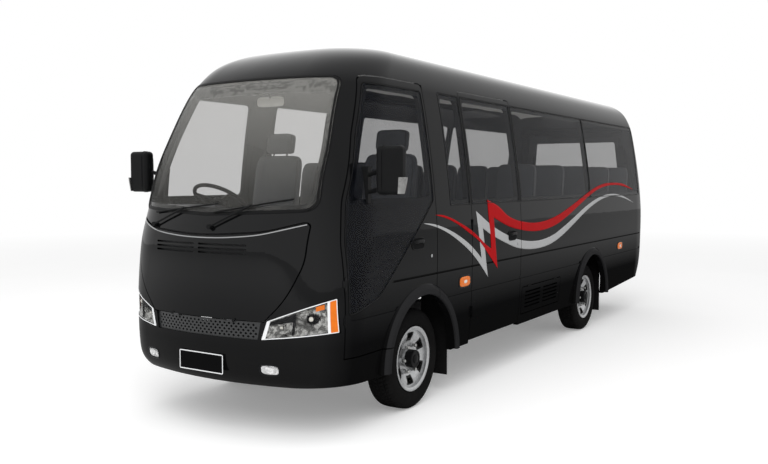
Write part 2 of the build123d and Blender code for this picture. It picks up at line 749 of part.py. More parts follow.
def make_service_lid(skins):
    """Vented lid behind the entry door."""
    near = [SILL_Z, 520, 700, 900]
    panel = (body_solid(0, levels=near) & side_prism(lid_outline())) - body_solid(LID_T, levels=near)
    slots = []
    for z in (510, 545, 580, 615, 650):
        for y in (LID_FRONT_Y + 270, LID_REAR_Y - 270):
            slots.append(side_prism(Pos(y, z) * RectangleRounded(380, 15, 7)))
    panel -= slots
    for hinge in LID_HINGES:
        panel = panel - hinge.relief + hinge.moving
    return panel


# --- Glass and lamps --------------------------------------------------------------------------
def make_saloon_glass(skins):
    """Fixed panes of both sides and the rear window."""
    front_left = (BAND_FRONT, ENTRY_FRONT_Y - 20)
    front_right = (BAND_FRONT, ENTRY_REAR_Y + 10)
    long_panes = [(ENTRY_REAR_Y + 20, PILLAR_Y - 5), (PILLAR_Y + 5, BAND_REAR)]
    left = [skins.pane(side_prism(band_pane(*span))) for span in [front_left] + long_panes]
    right = [mirrored(skins.pane(side_prism(band_pane(*span))))
             for span in [front_right] + long_panes]
    return solids(*left, *right, skins.pane(rear_prism(rear_window_outline())))


def make_front_lamps(skins):
    """Headlamps and fog lamps, each a closed block behind its lens."""
    head = skins.nose_wall & front_prism(headlamp_outline(), LAMP_REAR_Y)
    fog = skins.nose_wall & front_prism(fog_outline(), SHUT_Y)
    return solids(head, mirrored(head), fog, mirrored(fog))


def make_signal_lamps(skins):
    """Tail lamps in the rear corners and marker lamps on the sides."""
    tail = skins.stern_wall & rear_prism(tail_lamp_outline(), STERN_SPLIT + 20)
    near = [700, 900, WAIST_Z]
    proud = body_solid(-12, levels=near) - skins.outer
    markers = []
    for y in (-1700, 2523):
        markers.append(proud & side_prism(Pos(y, 884) * RectangleRounded(216, 108, 24)))
    return solids(tail, mirrored(tail), *markers, *[mirrored(m) for m in markers])


# --- Floor and what stands on it --------------------------------------------------------------
def make_floor(skins):
    """Floor with the engine cover and the entry steps."""
    slab = skins.inner & block(-1200, 1200, -4000, 4000, FLOOR_BOTTOM, FLOOR_TOP)
    hump = block(-HUMP_HALF, HUMP_HALF, HUMP_FRONT_Y, HUMP_REAR_Y, FLOOR_BOTTOM, HUMP_TOP)
    hollow = block(20 - HUMP_HALF, HUMP_HALF - 20, HUMP_FRONT_Y + 20, HUMP_REAR_Y - 20,
                   FLOOR_BOTTOM - 10, HUMP_TOP - 20)
    floor = slab + hump - hollow
    sweep = block(-1200, 1200, SHUT_Y - 20, DOOR_REAR_Y + 20, FLOOR_BOTTOM - 10, FLOOR_TOP + 10)
    floor -= sweep - body_solid(WALL + DOOR_SWEEP, levels=[700, 900, WAIST_Z])
    y0 = ENTRY_FRONT_Y + 10
    y1 = ENTRY_REAR_Y - 10
    floor -= block(STEP_X, 1200, y0, y1, FLOOR_BOTTOM - 10, FLOOR_TOP + 10)
    tread = block(STEP_X - 20, 760, y0, y1, 640, 665)
    riser = block(STEP_X - 20, STEP_X, y0, y1, 640, FLOOR_BOTTOM + 10)
    edge = SILL_HALF - WALL - 12
    lower = block(740, edge, y0, y1, ENTRY_FOOT + 15, ENTRY_FOOT + 40)
    lower_riser = block(740, 760, y0, y1, ENTRY_FOOT + 15, 650)
    ends = []
    for y in (y0 - 10, y1 - 10):
        ends.append(block(STEP_X - 20, edge, y, y + 20, ENTRY_FOOT + 15, FLOOR_BOTTOM + 10))
    return floor + [tread, riser, lower, lower_riser] + ends


def make_dashboard(skins):
    """Dashboard across the cab with the hood over the instruments and the steering column."""
    face = outline([(-3720, 1000), (-3060, 1000), (-2990, 1120), (-3020, 1330), (-3130, 1430),
                    (-3720, 1460)], [0, 30, 30, 50, 90, 0])
    body = (skins.inner & side_prism(face, -1000, 1000)) & block(-810, 810, -4000, 0, 0, 3000)
    cowl = Pos(WHEEL_AT[0], -3120, 1440) * Rot(0, 90, 0) * Cylinder(70, 420)
    cheeks = [block(x, x + 200, -3420, -3350, FLOOR_TOP, 1010) for x in (-790, 590)]
    sleeve = bar(column_point(SLEEVE_TOP), column_point(420), 34)
    bore = bar(column_point(SLEEVE_TOP - 1), column_point(SHAFT_END + 10), SHAFT_R + PIN_FIT)
    return body + [cowl, sleeve] + cheeks - bore


def column_point(along):
    """Point on the steering column, below the wheel."""
    tilt = math.radians(WHEEL_TILT)
    x, y, z = WHEEL_AT
    return (x, y - along * math.sin(tilt), z - along * math.cos(tilt))


def make_steering_wheel():
    """Rim, three spokes, hub and the end of its shaft."""
    place = Location(Plane(origin=WHEEL_AT, x_dir=(1, 0, 0), z_dir=(0, math.sin(math.radians(WHEEL_TILT)),
                                                                   math.cos(math.radians(WHEEL_TILT)))))
    wheel = Torus(STEERING_R, 15) + Pos(0, 0, -14) * Cylinder(52, 36)
    for turn in (90, 210, 330):
        wheel += Rot(0, 0, turn) * Pos(STEERING_R / 2, 0, -8) * Box(STEERING_R, 34, 12)
    wheel += rod_z(SHAFT_R, -SHAFT_END, -20, 0, 0)
    return place * wheel


def make_front_seats():
    """Driver and passenger seats: base, cushion, leaning back and headrest."""
    pieces = []
    for x in (WHEEL_AT[0], -WHEEL_AT[0]):
        y = FRONT_SEAT_Y
        top = FLOOR_TOP + FRONT_SEAT_BASE
        seat = block(x - 200, x + 200, y - 200, y + 200, FLOOR_TOP, top + 10)
        seat += block(x - 240, x + 240, y - 250, y + 220, top, top + CUSHION_T + 20)
        seat += Pos(x, y + 225, top + 390) * Rot(-10, 0, 0) * Box(470, 110, 560)
        for dx in (-70, 70):
            seat += bar((x + dx, y + 265, top + 600), (x + dx, y + 290, top + 720), 8)
        seat += Pos(x, y + 285, top + 755) * Rot(-10, 0, 0) * Box(280, 90, 170)
        pieces.append(seat)
    return solids(*pieces)


def make_passenger_seats():
    """Rows of double seats on the right and single seats on the left, behind the entry door."""
    pieces = []
    for x, width, count in ((-DOUBLE_X, DOUBLE_W, 7), (SINGLE_X, SINGLE_W, 5)):
        for row in range(count):
            y = LAST_ROW_Y - row * ROW_PITCH
            top = FLOOR_TOP + SEAT_H - CUSHION_T
            half = width / 2
            seat = block(x - half + 60, x + half - 60, y - 160, y + 160, FLOOR_TOP, top + 10)
            seat += block(x - half, x + half, y - 230, y + 200, top, top + CUSHION_T)
            seat += Pos(x, y + 225, top + CUSHION_T + BACK_H / 2 - 60) * Rot(-8, 0, 0) * Box(width, BACK_T, BACK_H)
            pieces.append(seat)
    return solids(*pieces)


# --- Running gear -----------------------------------------------------------------------------
def make_tyre(x, y):
    """Plain tyre; its tread is in the finish."""
    half = TYRE_WIDTH / 2
    bead = half - 22
    flank = [(bead, RIM_BEAD_R), (bead, RIM_R + 5), (half - 6, RIM_R + 26), (half, RIM_R + 58),
             (half - 5, TYRE_R - 48), (half - 16, TYRE_R - 16), (half - 32, TYRE_R - 4), (40, TYRE_R)]
    far = [(-u, r) for u, r in flank]
    face = outline(far + flank[::-1], 0)
    return Pos(x, y, TYRE_R) * revolve(Plane.XZ * face, axis=Axis.X)


def make_rim(x, y, side):
    """Rim with its dished disc, six windows, six nut bosses and the hub."""
    half = TYRE_WIDTH / 2 - 10
    seat = half - 10
    contour = [(-half, RIM_R + 3), (-half + 6, RIM_R + 3), (-seat, RIM_BEAD_R), (-46, RIM_BEAD_R),
               (-36, RIM_BEAD_R - 22), (36, RIM_BEAD_R - 22), (46, RIM_BEAD_R), (seat, RIM_BEAD_R),
               (half - 6, RIM_R + 3), (half, RIM_R + 3), (half, RIM_R - 8), (seat + 3, RIM_BEAD_R - 8),
               (52, RIM_BEAD_R - 8), (42, RIM_BEAD_R - 30), (-42, RIM_BEAD_R - 30),
               (-52, RIM_BEAD_R - 8), (-seat - 3, RIM_BEAD_R - 8), (-half, RIM_R - 8)]
    barrel = revolve(Plane.XZ * outline(contour, 0), axis=Axis.X)
    face_x = half - DISC_IN
    dish = outline([(face_x + 26, RIM_BEAD_R - 4), (face_x + 22, 176), (face_x, 122), (face_x, 0),
                    (face_x - 14, 0), (face_x - 14, 128), (face_x + 8, 184), (face_x + 8, RIM_BEAD_R - 4)],
                   [0, 20, 30, 0, 0, 30, 20, 0])
    rim = barrel + revolve(Plane.XZ * dish, axis=Axis.X)
    window = outline([(148, -26), (188, -33), (188, 33), (148, 26)], 10)
    windows = [Rot(turn, 0, 0) * extrude(Plane.YZ.offset(-40) * window, amount=160)
               for turn in range(30, 390, 60)]
    rim -= windows
    hub = rod_x(HUB_R, face_x - 60, face_x + 62, 0, 0)
    bosses = [Rot(turn, 0, 0) * rod_x(17, face_x - 4, face_x + 20, 104, 0) for turn in range(0, 360, 60)]
    rim = rim + [hub] + bosses
    rim -= rod_x(SPINDLE_R + PIN_FIT, -half - 50, face_x + 20, 0, 0)
    if side < 0:
        rim = mirrored(rim)
    return Pos(x, y, TYRE_R) * rim


def make_knuckle():
    """Left knuckle: kingpin, fork, spindle, backing plate and steering arm."""
    ears = rod_z(38, BEAM_Z + 48, BEAM_Z + 80, KINGPIN_X, FRONT_AXLE_Y)
    ears += rod_z(38, BEAM_Z - 80, BEAM_Z - 48, KINGPIN_X, FRONT_AXLE_Y)
    pin = rod_z(KINGPIN_R, BEAM_Z - 78, BEAM_Z + 78, KINGPIN_X, FRONT_AXLE_Y)
    web = block(KINGPIN_X + 46, KINGPIN_X + 72, FRONT_AXLE_Y - 36, FRONT_AXLE_Y + 36,
                BEAM_Z - 80, BEAM_Z + 80)
    bridges = []
    for z in (BEAM_Z - 80, BEAM_Z + 48):
        bridges.append(block(KINGPIN_X, KINGPIN_X + 60, FRONT_AXLE_Y - 36, FRONT_AXLE_Y + 36, z, z + 32))
    plate = rod_x(DRUM_R, KINGPIN_X + 62, KINGPIN_X + 74, FRONT_AXLE_Y, BEAM_Z)
    spindle = rod_x(SPINDLE_R, KINGPIN_X + 60, SPINDLE_END, FRONT_AXLE_Y, BEAM_Z)
    arm = block(KINGPIN_X - 16, KINGPIN_X + 16, FRONT_AXLE_Y, FRONT_AXLE_Y + STEER_ARM,
                BEAM_Z - 80, BEAM_Z - 58)
    arm += rod_z(20, BEAM_Z - 80, BEAM_Z - 58, KINGPIN_X, FRONT_AXLE_Y + STEER_ARM)
    stud = rod_z(9, BEAM_Z - 112, BEAM_Z - 60, KINGPIN_X, FRONT_AXLE_Y + STEER_ARM)
    return ears + [pin, web, plate, spindle, arm, stud] + bridges


def make_tie_rod():
    """Rod between the two steering arms, with an eye round each stud."""
    y = FRONT_AXLE_Y + STEER_ARM
    z = BEAM_Z - 98
    rod = rod_x(13, -KINGPIN_X + 15, KINGPIN_X - 15, y, z)
    for x in (-KINGPIN_X, KINGPIN_X):
        rod += rod_z(22, z - 14, z + 14, x, y)
    for x in (-KINGPIN_X, KINGPIN_X):
        rod -= rod_z(9 + PIN_FIT, z - 20, z + 20, x, y)
    return rod


def make_front_axle():
    """Dropped beam with a kingpin boss at each end and a spring pad on each side."""
    beam = block(-560, 560, FRONT_AXLE_Y - 32, FRONT_AXLE_Y + 32, BEAM_Z - 52, BEAM_Z + 18)
    for side in (-1, 1):
        x0, x1 = sorted((side * 540, side * KINGPIN_X))
        beam += block(x0, x1, FRONT_AXLE_Y - 30, FRONT_AXLE_Y + 30, BEAM_Z - 34, BEAM_Z + 34)
        beam += rod_z(36, BEAM_Z - 47, BEAM_Z + 47, side * KINGPIN_X, FRONT_AXLE_Y)
        beam += block(side * RAIL_X - 45, side * RAIL_X + 45, FRONT_AXLE_Y - 60, FRONT_AXLE_Y + 60,
                      BEAM_Z + 10, SPRING_SEAT)
    for side in (-1, 1):
        beam -= rod_z(KINGPIN_R + PIN_FIT, BEAM_Z - 60, BEAM_Z + 60, side * KINGPIN_X, FRONT_AXLE_Y)
    return beam + leaf_springs(FRONT_AXLE_Y)


def make_rear_axle():
    """Banjo axle with its differential, drums and spindles."""
    axle = rod_x(56, -KINGPIN_X, KINGPIN_X, REAR_AXLE_Y, TYRE_R)
    axle += fillet(Cylinder(DIFF_R, 250).edges(), 60).moved(Location((0, REAR_AXLE_Y, TYRE_R), (90, 0, 0)))
    axle += rod_y(60, REAR_AXLE_Y - PINION, REAR_AXLE_Y, 0, TYRE_R)
    for side in (-1, 1):
        inner, outer = side * (KINGPIN_X - 10), side * (KINGPIN_X + 74)
        axle += rod_x(DRUM_R, inner, outer, REAR_AXLE_Y, TYRE_R)
        axle += rod_x(SPINDLE_R, outer, side * SPINDLE_END, REAR_AXLE_Y, TYRE_R)
        axle += block(side * RAIL_X - 45, side * RAIL_X + 45, REAR_AXLE_Y - 70, REAR_AXLE_Y + 70,
                      TYRE_R, SPRING_SEAT)
    return axle + leaf_springs(REAR_AXLE_Y)


def leaf_springs(axle_y):
    """The leaf packs of one axle, from its seats to the hangers under the frame."""
    z = SPRING_SEAT
    sag = 14
    tip = z + sag + 16
    lower = ThreePointArc((axle_y - SPRING_HALF, z + sag), (axle_y, z), (axle_y + SPRING_HALF, z + sag))
    end = Line((axle_y + SPRING_HALF, z + sag), (axle_y + SPRING_HALF, tip))
    upper = ThreePointArc((axle_y + SPRING_HALF, tip), (axle_y, z + SPRING_T), (axle_y - SPRING_HALF, tip))
    start = Line((axle_y - SPRING_HALF, tip), (axle_y - SPRING_HALF, z + sag))
    face = make_face([lower, end, upper, start])
    packs = []
    for side in (-1, 1):
        x = side * RAIL_X
        packs.append(side_prism(face, x - SPRING_W / 2, x + SPRING_W / 2))
        packs.append(block(x - 20, x + 20, axle_y - 50, axle_y + 50, SPRING_SEAT - 10, SPRING_SEAT + 10))
        for way in (-1, 1):
            packs.append(rod_x(7, x - 31, x + 31, axle_y + way * (SPRING_HALF - 10), z + sag + 8))
    return packs


def make_chassis_frame():
    """Two channel rails, crossmembers, spring hangers and the sleepers under the floor."""
    front = FRONT_Y + 260
    rear = REAR_Y - 330
    frame = None
    for side in (-1, 1):
        x = side * RAIL_X
        rail = block(x - RAIL_W / 2, x + RAIL_W / 2, front, rear, RAIL_TOP - RAIL_H, RAIL_TOP)
        web = side * (RAIL_W / 2 - RAIL_T)
        rail -= block(min(x - side * RAIL_W / 2, x + web), max(x - side * RAIL_W / 2, x + web),
                      front - 1, rear + 1, RAIL_TOP - RAIL_H + RAIL_T, RAIL_TOP - RAIL_T)
        frame = rail if frame is None else frame + rail
        for axle_y in (FRONT_AXLE_Y, REAR_AXLE_Y):
            for end in (-1, 1):
                y = axle_y + end * SPRING_HALF
                frame += block(x - 38, x - 31, y - 30, y + 30, SPRING_SEAT, RAIL_TOP - RAIL_H + 10)
                frame += block(x + 31, x + 38, y - 30, y + 30, SPRING_SEAT, RAIL_TOP - RAIL_H + 10)
    reach = RAIL_X + RAIL_W / 2 - RAIL_T + 2
    for y in (front + 60, -1600, -600, 900, 2250, rear - 60):
        frame += block(-reach, reach, y - 35, y + 35, RAIL_TOP - 75, RAIL_TOP - 15)
    for y in (TOW_Y - TOW_STEP_Y / 2, TOW_Y + TOW_STEP_Y / 2):
        for z in (TOW_Z - TOW_STEP_Z / 2, TOW_Z + TOW_STEP_Z / 2):
            frame -= rod_x(TOW_HOLE_R, -RAIL_X - RAIL_W, RAIL_X + RAIL_W, y, z)
    for y in (NOSE_SLEEPER_Y, HUMP_REAR_Y + 200, -450, 400, 900, 2100, 2700, 3250):
        half = NOSE_SLEEPER_HALF if y == NOSE_SLEEPER_Y else SLEEPER_HALF
        frame += block(-half, half, y - 30, y + 30, SLEEPER_FOOT, FLOOR_BOTTOM)
        for side in (-1, 1):
            x = side * RAIL_X
            frame += block(x - 25, x + 25, y - 25, y + 25, RAIL_TOP - 2, FLOOR_BOTTOM - 60)
    return frame


def make_driveline():
    """Engine as one plain block, with the gearbox and the shaft to the rear axle."""
    engine = block(-250, 250, HUMP_FRONT_Y + 30, -2150, 475, 1060)
    engine += block(-160, 160, -2160, -1720, 440, 760)
    nose = REAR_AXLE_Y - PINION
    shaft = bar((0, -1730, 520), (0, nose - 10, TYRE_R), 40) + rod_y(60, nose - 25, nose, 0, TYRE_R)
    mounts = []
    for side in (-1, 1):
        x0, x1 = sorted((side * 245, side * (RAIL_X + 10)))
        z = RAIL_TOP - RAIL_H + RAIL_T
        mounts.append(block(x0, x1, -2640, -2560, z, z + 40))
    return engine + [shaft] + mounts


def make_tank_and_exhaust():
    """Fuel tank outside the right rail; silencer and tailpipe inside the left one."""
    tank = Pos(-600, -1150, 560) * Box(330, 900, 300)
    tank = fillet(tank.edges().filter_by(Axis.Y), 40)
    for y in (-1480, -820):
        tank += block(-440, -RAIL_X - RAIL_W / 2, y - 30, y + 30, 500, 640)
    silencer = rod_y(110, -300, 480, 220, 520) + rod_y(32, -1500, 2000, 220, 520)
    silencer += block(205, 235, 385, 415, 600, SLEEPER_FOOT)
    return solids(tank, silencer)


def make_mudflaps():
    """Flap behind each wheel, hung from the floor."""
    flaps = []
    for axle_y in (FRONT_AXLE_Y, REAR_AXLE_Y):
        for side in (-1, 1):
            x0, x1 = sorted((side * 640, side * (SILL_HALF - WALL - 12)))
            y = axle_y + ARCH_R + 30
            flaps.append(block(x0, x1, y, y + 10, 150, FLOOR_BOTTOM))
    return solids(*flaps)


# --- Outside fittings -------------------------------------------------------------------------
def make_mirror(skins):
    """Left door mirror: foot on the door, two arms and the housing."""
    x, y, z = MIRROR_AT
    housing = fillet(Box(196, 84, 312).edges(), 30)
    mirror = Pos(x, y, z) * housing
    foot = block(885, 945, y + 30, y + 70, 1540, 1780)
    arms = [bar((925, y + 50, 1610), (x - 60, y + 5, 1640), 15),
            bar((925, y + 50, 1720), (x - 60, y + 5, 1760), 15)]
    return mirror + [foot] + arms - skins.outer


def nose_y(x, z, stand_off):
    """How far forward the nose skin lies at a place, plus a stand-off."""
    nose = float(NOSE(z)) - stand_off
    half = float(SIDE(z)) + stand_off
    rc = float(CORNER(z)) + stand_off
    xc = half - rc
    bow = BOW_RADIUS + stand_off
    yc = nose + bow - math.sqrt((bow - rc) ** 2 - xc ** 2)
    edge = bow * xc / (bow - rc)
    if abs(x) < edge:
        return nose + bow - math.sqrt(bow ** 2 - x ** 2)
    return yc - math.sqrt(rc ** 2 - (abs(x) - xc) ** 2)


def along_glass(start, end, stand_off, radius):
    """Round bar that follows the windscreen between two places, each (x, z)."""
    points = []
    for t in (0, 0.5, 1):
        x = start[0] + t * (end[0] - start[0])
        z = start[1] + t * (end[1] - start[1])
        points.append((x, nose_y(x, z, stand_off), z))
    path = ThreePointArc(*points)
    return sweep(Plane(origin=path @ 0, z_dir=path % 0) * Circle(radius), path=path)


def make_wipers(skins):
    """Two wipers: spindle in the cowl, arm and blade."""
    pieces = []
    for pivot, elbow, tip, tail in WIPERS:
        arm = along_glass(pivot, elbow, 24, 7)
        blade = along_glass(tail, tip, 13, 6)
        y = nose_y(pivot[0], pivot[1], 0)
        spindle = rod_y(16, y - 32, y + 20, pivot[0], pivot[1])
        y = nose_y(elbow[0], elbow[1], 0)
        joint = rod_y(8, y - 30, y - 16, elbow[0], elbow[1])
        pieces.append(arm + [blade, spindle, joint] - skins.outer)
    return solids(*pieces)


def main():
    """Write one STEP file for each piece."""
    os.makedirs("parts", exist_ok=True)
    skins = Skins()
    side = make_side(skins)
    parts = {
        "cab_front": make_cab_front(skins),
        "roof": make_roof(skins),
        "side_left": make_side_left(skins, side),
        "side_right": make_side_right(skins, side),
        "rear_wall": make_rear_wall(skins),
        "rear_bumper": make_rear_bumper(skins),
        "front_bumper": make_front_bumper(skins),
        "grille": make_grille(skins),
        "front_hatch": make_front_hatch(skins),
        "entry_door": make_entry_door(skins),
        "service_lid": make_service_lid(skins),
        "windscreen": skins.pane(front_prism(windscreen_outline())),
        "saloon_glass": make_saloon_glass(skins),
        "entry_glass": skins.pane(side_prism(band_pane(ENTRY_FRONT_Y + PANE_RIM, ENTRY_REAR_Y - PANE_RIM))),
        "front_lamps": make_front_lamps(skins),
        "signal_lamps": make_signal_lamps(skins),
        "floor": make_floor(skins),
        "dashboard": make_dashboard(skins),
        "steering_wheel": make_steering_wheel(),
        "front_seats": make_front_seats(),
        "passenger_seats": make_passenger_seats(),
        "front_axle": make_front_axle(),
        "rear_axle": make_rear_axle(),
        "chassis_frame": make_chassis_frame(),
        "driveline": make_driveline(),
        "tank_and_exhaust": make_tank_and_exhaust(),
        "mudflaps": make_mudflaps(),
        "wipers": make_wipers(skins),
        "tie_rod": make_tie_rod(),
    }
    paired = {
        "front_door": make_front_door(skins),
        "door_glass": skins.pane(side_prism(door_pane_outline())),
        "mirror": make_mirror(skins),
        "knuckle": make_knuckle(),
    }
    for name, shape in paired.items():
        parts[name + "_left"] = shape
        parts[name + "_right"] = mirrored(shape)
    for end, y in (("front", FRONT_AXLE_Y), ("rear", REAR_AXLE_Y)):
        for side_name, sign in (("left", 1), ("right", -1)):
            parts[f"tyre_{end}_{side_name}"] = make_tyre(sign * WHEEL_X, y)
            parts[f"rim_{end}_{side_name}"] = make_rim(sign * WHEEL_X, y, sign)
    for name, shape in parts.items():
        export_step(shape, f"parts/{name}.step")


if __name__ == "__main__":
    main()
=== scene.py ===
import logging
import math
from collections.abc import Sequence
from dataclasses import dataclass, field
from enum import Enum

import bmesh
import bpy
import numpy as np
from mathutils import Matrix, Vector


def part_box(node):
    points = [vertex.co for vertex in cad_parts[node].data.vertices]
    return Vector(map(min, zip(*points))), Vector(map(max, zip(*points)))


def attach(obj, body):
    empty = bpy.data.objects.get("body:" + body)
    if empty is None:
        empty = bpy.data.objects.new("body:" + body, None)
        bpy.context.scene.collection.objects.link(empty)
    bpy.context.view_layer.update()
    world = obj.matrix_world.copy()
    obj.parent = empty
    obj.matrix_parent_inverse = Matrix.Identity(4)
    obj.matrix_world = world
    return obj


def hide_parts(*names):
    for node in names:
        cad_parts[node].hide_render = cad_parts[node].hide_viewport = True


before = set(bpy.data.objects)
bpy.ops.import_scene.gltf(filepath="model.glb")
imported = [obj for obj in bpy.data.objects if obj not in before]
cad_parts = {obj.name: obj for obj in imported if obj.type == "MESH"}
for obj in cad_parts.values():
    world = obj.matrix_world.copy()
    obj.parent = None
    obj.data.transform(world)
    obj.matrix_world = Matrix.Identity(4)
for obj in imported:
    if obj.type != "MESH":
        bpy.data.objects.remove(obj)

LOG = logging.getLogger("minibus")
NODES: dict[str, bpy.types.Object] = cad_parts
FRONT_AXLE_Y = (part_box("tyre_front_left")[0].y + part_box("tyre_front_left")[1].y) / 2
REAR_AXLE_Y = (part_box("tyre_rear_left")[0].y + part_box("tyre_rear_left")[1].y) / 2
TYRE_R = (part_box("tyre_front_left")[1].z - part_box("tyre_front_left")[0].z) / 2
WHEEL_X = (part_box("tyre_front_left")[0].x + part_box("tyre_front_left")[1].x) / 2
AXLES = (("front", FRONT_AXLE_Y), ("rear", REAR_AXLE_Y))

START_X, START_Y = 1.4, 4.2  # places outside the body, where points start on their way to it
MET_X, MET_Y = 1.3, 4.1  # a point that is still further out than this met nothing
PAD_ROWS, PAD_STEPS = 30, 72  # points of a cushion from foot to crown and round


# --- Shader maths -----------------------------------------------------------------------------
class Sock:
    """An output socket whose arithmetic adds Math nodes."""

    def __init__(self, shader: "Shader", socket: bpy.types.NodeSocket) -> None:
        """Wraps the socket of a shader."""
        self.shader = shader
        self.socket = socket

    def _math(self, operation: str, first: "Sock | float", second: "Sock | float") -> "Sock":
        """One Math node on two values."""
        return self.shader.node("ShaderNodeMath", {"operation": operation}, {0: first, 1: second})

    def __add__(self, other: "Sock | float") -> "Sock":
        """Sum."""
        return self._math("ADD", self, other)

    def __radd__(self, other: "Sock | float") -> "Sock":
        """Sum."""
        return self._math("ADD", other, self)

    def __sub__(self, other: "Sock | float") -> "Sock":
        """Difference."""
        return self._math("SUBTRACT", self, other)

    def __rsub__(self, other: "Sock | float") -> "Sock":
        """Difference."""
        return self._math("SUBTRACT", other, self)

    def __mul__(self, other: "Sock | float") -> "Sock":
        """Product."""
        return self._math("MULTIPLY", self, other)

    def __rmul__(self, other: "Sock | float") -> "Sock":
        """Product."""
        return self._math("MULTIPLY", other, self)

    def __gt__(self, other: "Sock | float") -> "Sock":
        """1 where this is the greater."""
        return self._math("GREATER_THAN", self, other)

    def __lt__(self, other: "Sock | float") -> "Sock":
        """1 where this is the smaller."""
        return self._math("LESS_THAN", self, other)

    def __abs__(self) -> "Sock":
        """Size without sign."""
        return self._math("ABSOLUTE", self, 0.0)

    def root(self) -> "Sock":
        """Square root."""
        return self._math("SQRT", self, 0.0)

    def sine(self) -> "Sock":
        """Sine."""
        return self._math("SINE", self, 0.0)

    def top(self, other: "Sock | float") -> "Sock":
        """The greater of two values."""
        return self._math("MAXIMUM", self, other)

    def ramp(self, low: float, high: float, start: float = 0.0, end: float = 1.0) -> "Sock":
        """Straight change from start to end as this goes from low to high, held outside."""
        return self.shader.node("ShaderNodeMapRange", {"clamp": True},
                                {0: self, 1: low, 2: high, 3: start, 4: end})


class Shader:
    """Node tree of one material, or of the world."""

    def __init__(self, name: str, owner: bpy.types.World | None = None) -> None:
        """Starts an empty tree, in a new material where no owner is given.

        Args:
            name: name of a new material.
            owner: the world, where the tree is its own.
        """
        self.material = owner or bpy.data.materials.new(name)
        self.material.use_nodes = True
        self.tree = self.material.node_tree
        self.tree.nodes.clear()

    def node(self, kind: str, settings: dict | None = None, inputs: dict | None = None,
             output: int | str = 0) -> Sock:
        """Adds a node.

        Args:
            kind: its type.
            settings: its own settings, which are set first.
            inputs: values or sockets by input name or number.
            output: which output to hand back.
        Returns:
            The wrapped output.
        """
        made = self.tree.nodes.new(kind)
        for key, value in (settings or {}).items():
            setattr(made, key, value)
        for key, value in (inputs or {}).items():
            if isinstance(value, Sock):
                self.tree.links.new(value.socket, made.inputs[key])
            elif isinstance(value, tuple) and len(value) == 3 and made.inputs[key].type == "RGBA":
                made.inputs[key].default_value = (*value, 1.0)
            else:
                made.inputs[key].default_value = value
        return Sock(self, made.outputs[output])

    def place(self) -> tuple[Sock, Sock, Sock, Sock]:
        """Object coordinates: the vector and its X, Y and Z.

        Returns:
            The vector, then its X, Y and Z.
        """
        vector = self.node("ShaderNodeTexCoord", output="Object")
        split = self.tree.nodes.new("ShaderNodeSeparateXYZ")
        self.tree.links.new(vector.socket, split.inputs[0])
        return vector, *(Sock(self, output) for output in split.outputs)

    def noise(self, vector: Sock, scale: float, detail: float = 3.0, rough: float = 0.5) -> Sock:
        """Cloudy noise from 0 to 1."""
        return self.node("ShaderNodeTexNoise", {}, {"Vector": vector, "Scale": scale, "Detail": detail,
                                                     "Roughness": rough})

    def cells(self, vector: Sock, scale: float) -> Sock:
        """Distance to the nearest of scattered points."""
        return self.node("ShaderNodeTexVoronoi", {}, {"Vector": vector, "Scale": scale})

    def blend(self, first: "Sock | tuple", second: "Sock | tuple", share: "Sock | float") -> Sock:
        """Colour between two colours: the first at share 0, the second at share 1."""
        return self.node("ShaderNodeMix", {"data_type": "RGBA"}, {0: share, 6: first, 7: second}, 2)

    def relief(self, height: Sock, depth: float, strength: float = 1.0) -> Sock:
        """Bump normal of a height."""
        return self.node("ShaderNodeBump", {}, {"Height": height, "Distance": depth, "Strength": strength})

    def surface(self, **inputs: "Sock | float | tuple") -> bpy.types.Material:
        """Ends the tree in a Principled surface; input names have _ for spaces.

        Args:
            inputs: values or sockets by input name.
        Returns:
            The material.
        """
        named = {key.replace("_", " "): value for key, value in inputs.items()}
        self.node_out(self.node("ShaderNodeBsdfPrincipled", {}, named))
        return self.material

    def node_out(self, shader: Sock, kind: str = "ShaderNodeOutputMaterial") -> None:
        """Links a shader to the output of the material or the world."""
        out = self.tree.nodes.new(kind)
        self.tree.links.new(shader.socket, out.inputs["Surface"])


# --- Finishes ---------------------------------------------------------------------------------
DUST = (0.19, 0.17, 0.14)
DUST_TOP = 0.95


class Grain(Enum):
    """Fine relief of a finish."""

    PEEL = "soft waves of sprayed paint"
    PEBBLE = "moulded pebble grain"
    CAST = "rough cast skin"
    BRUSHED = "fine lines along the piece"
    WEAVE = "woven threads"
    RIBS = "upright moulded ribs"
    PILE = "short cut pile"


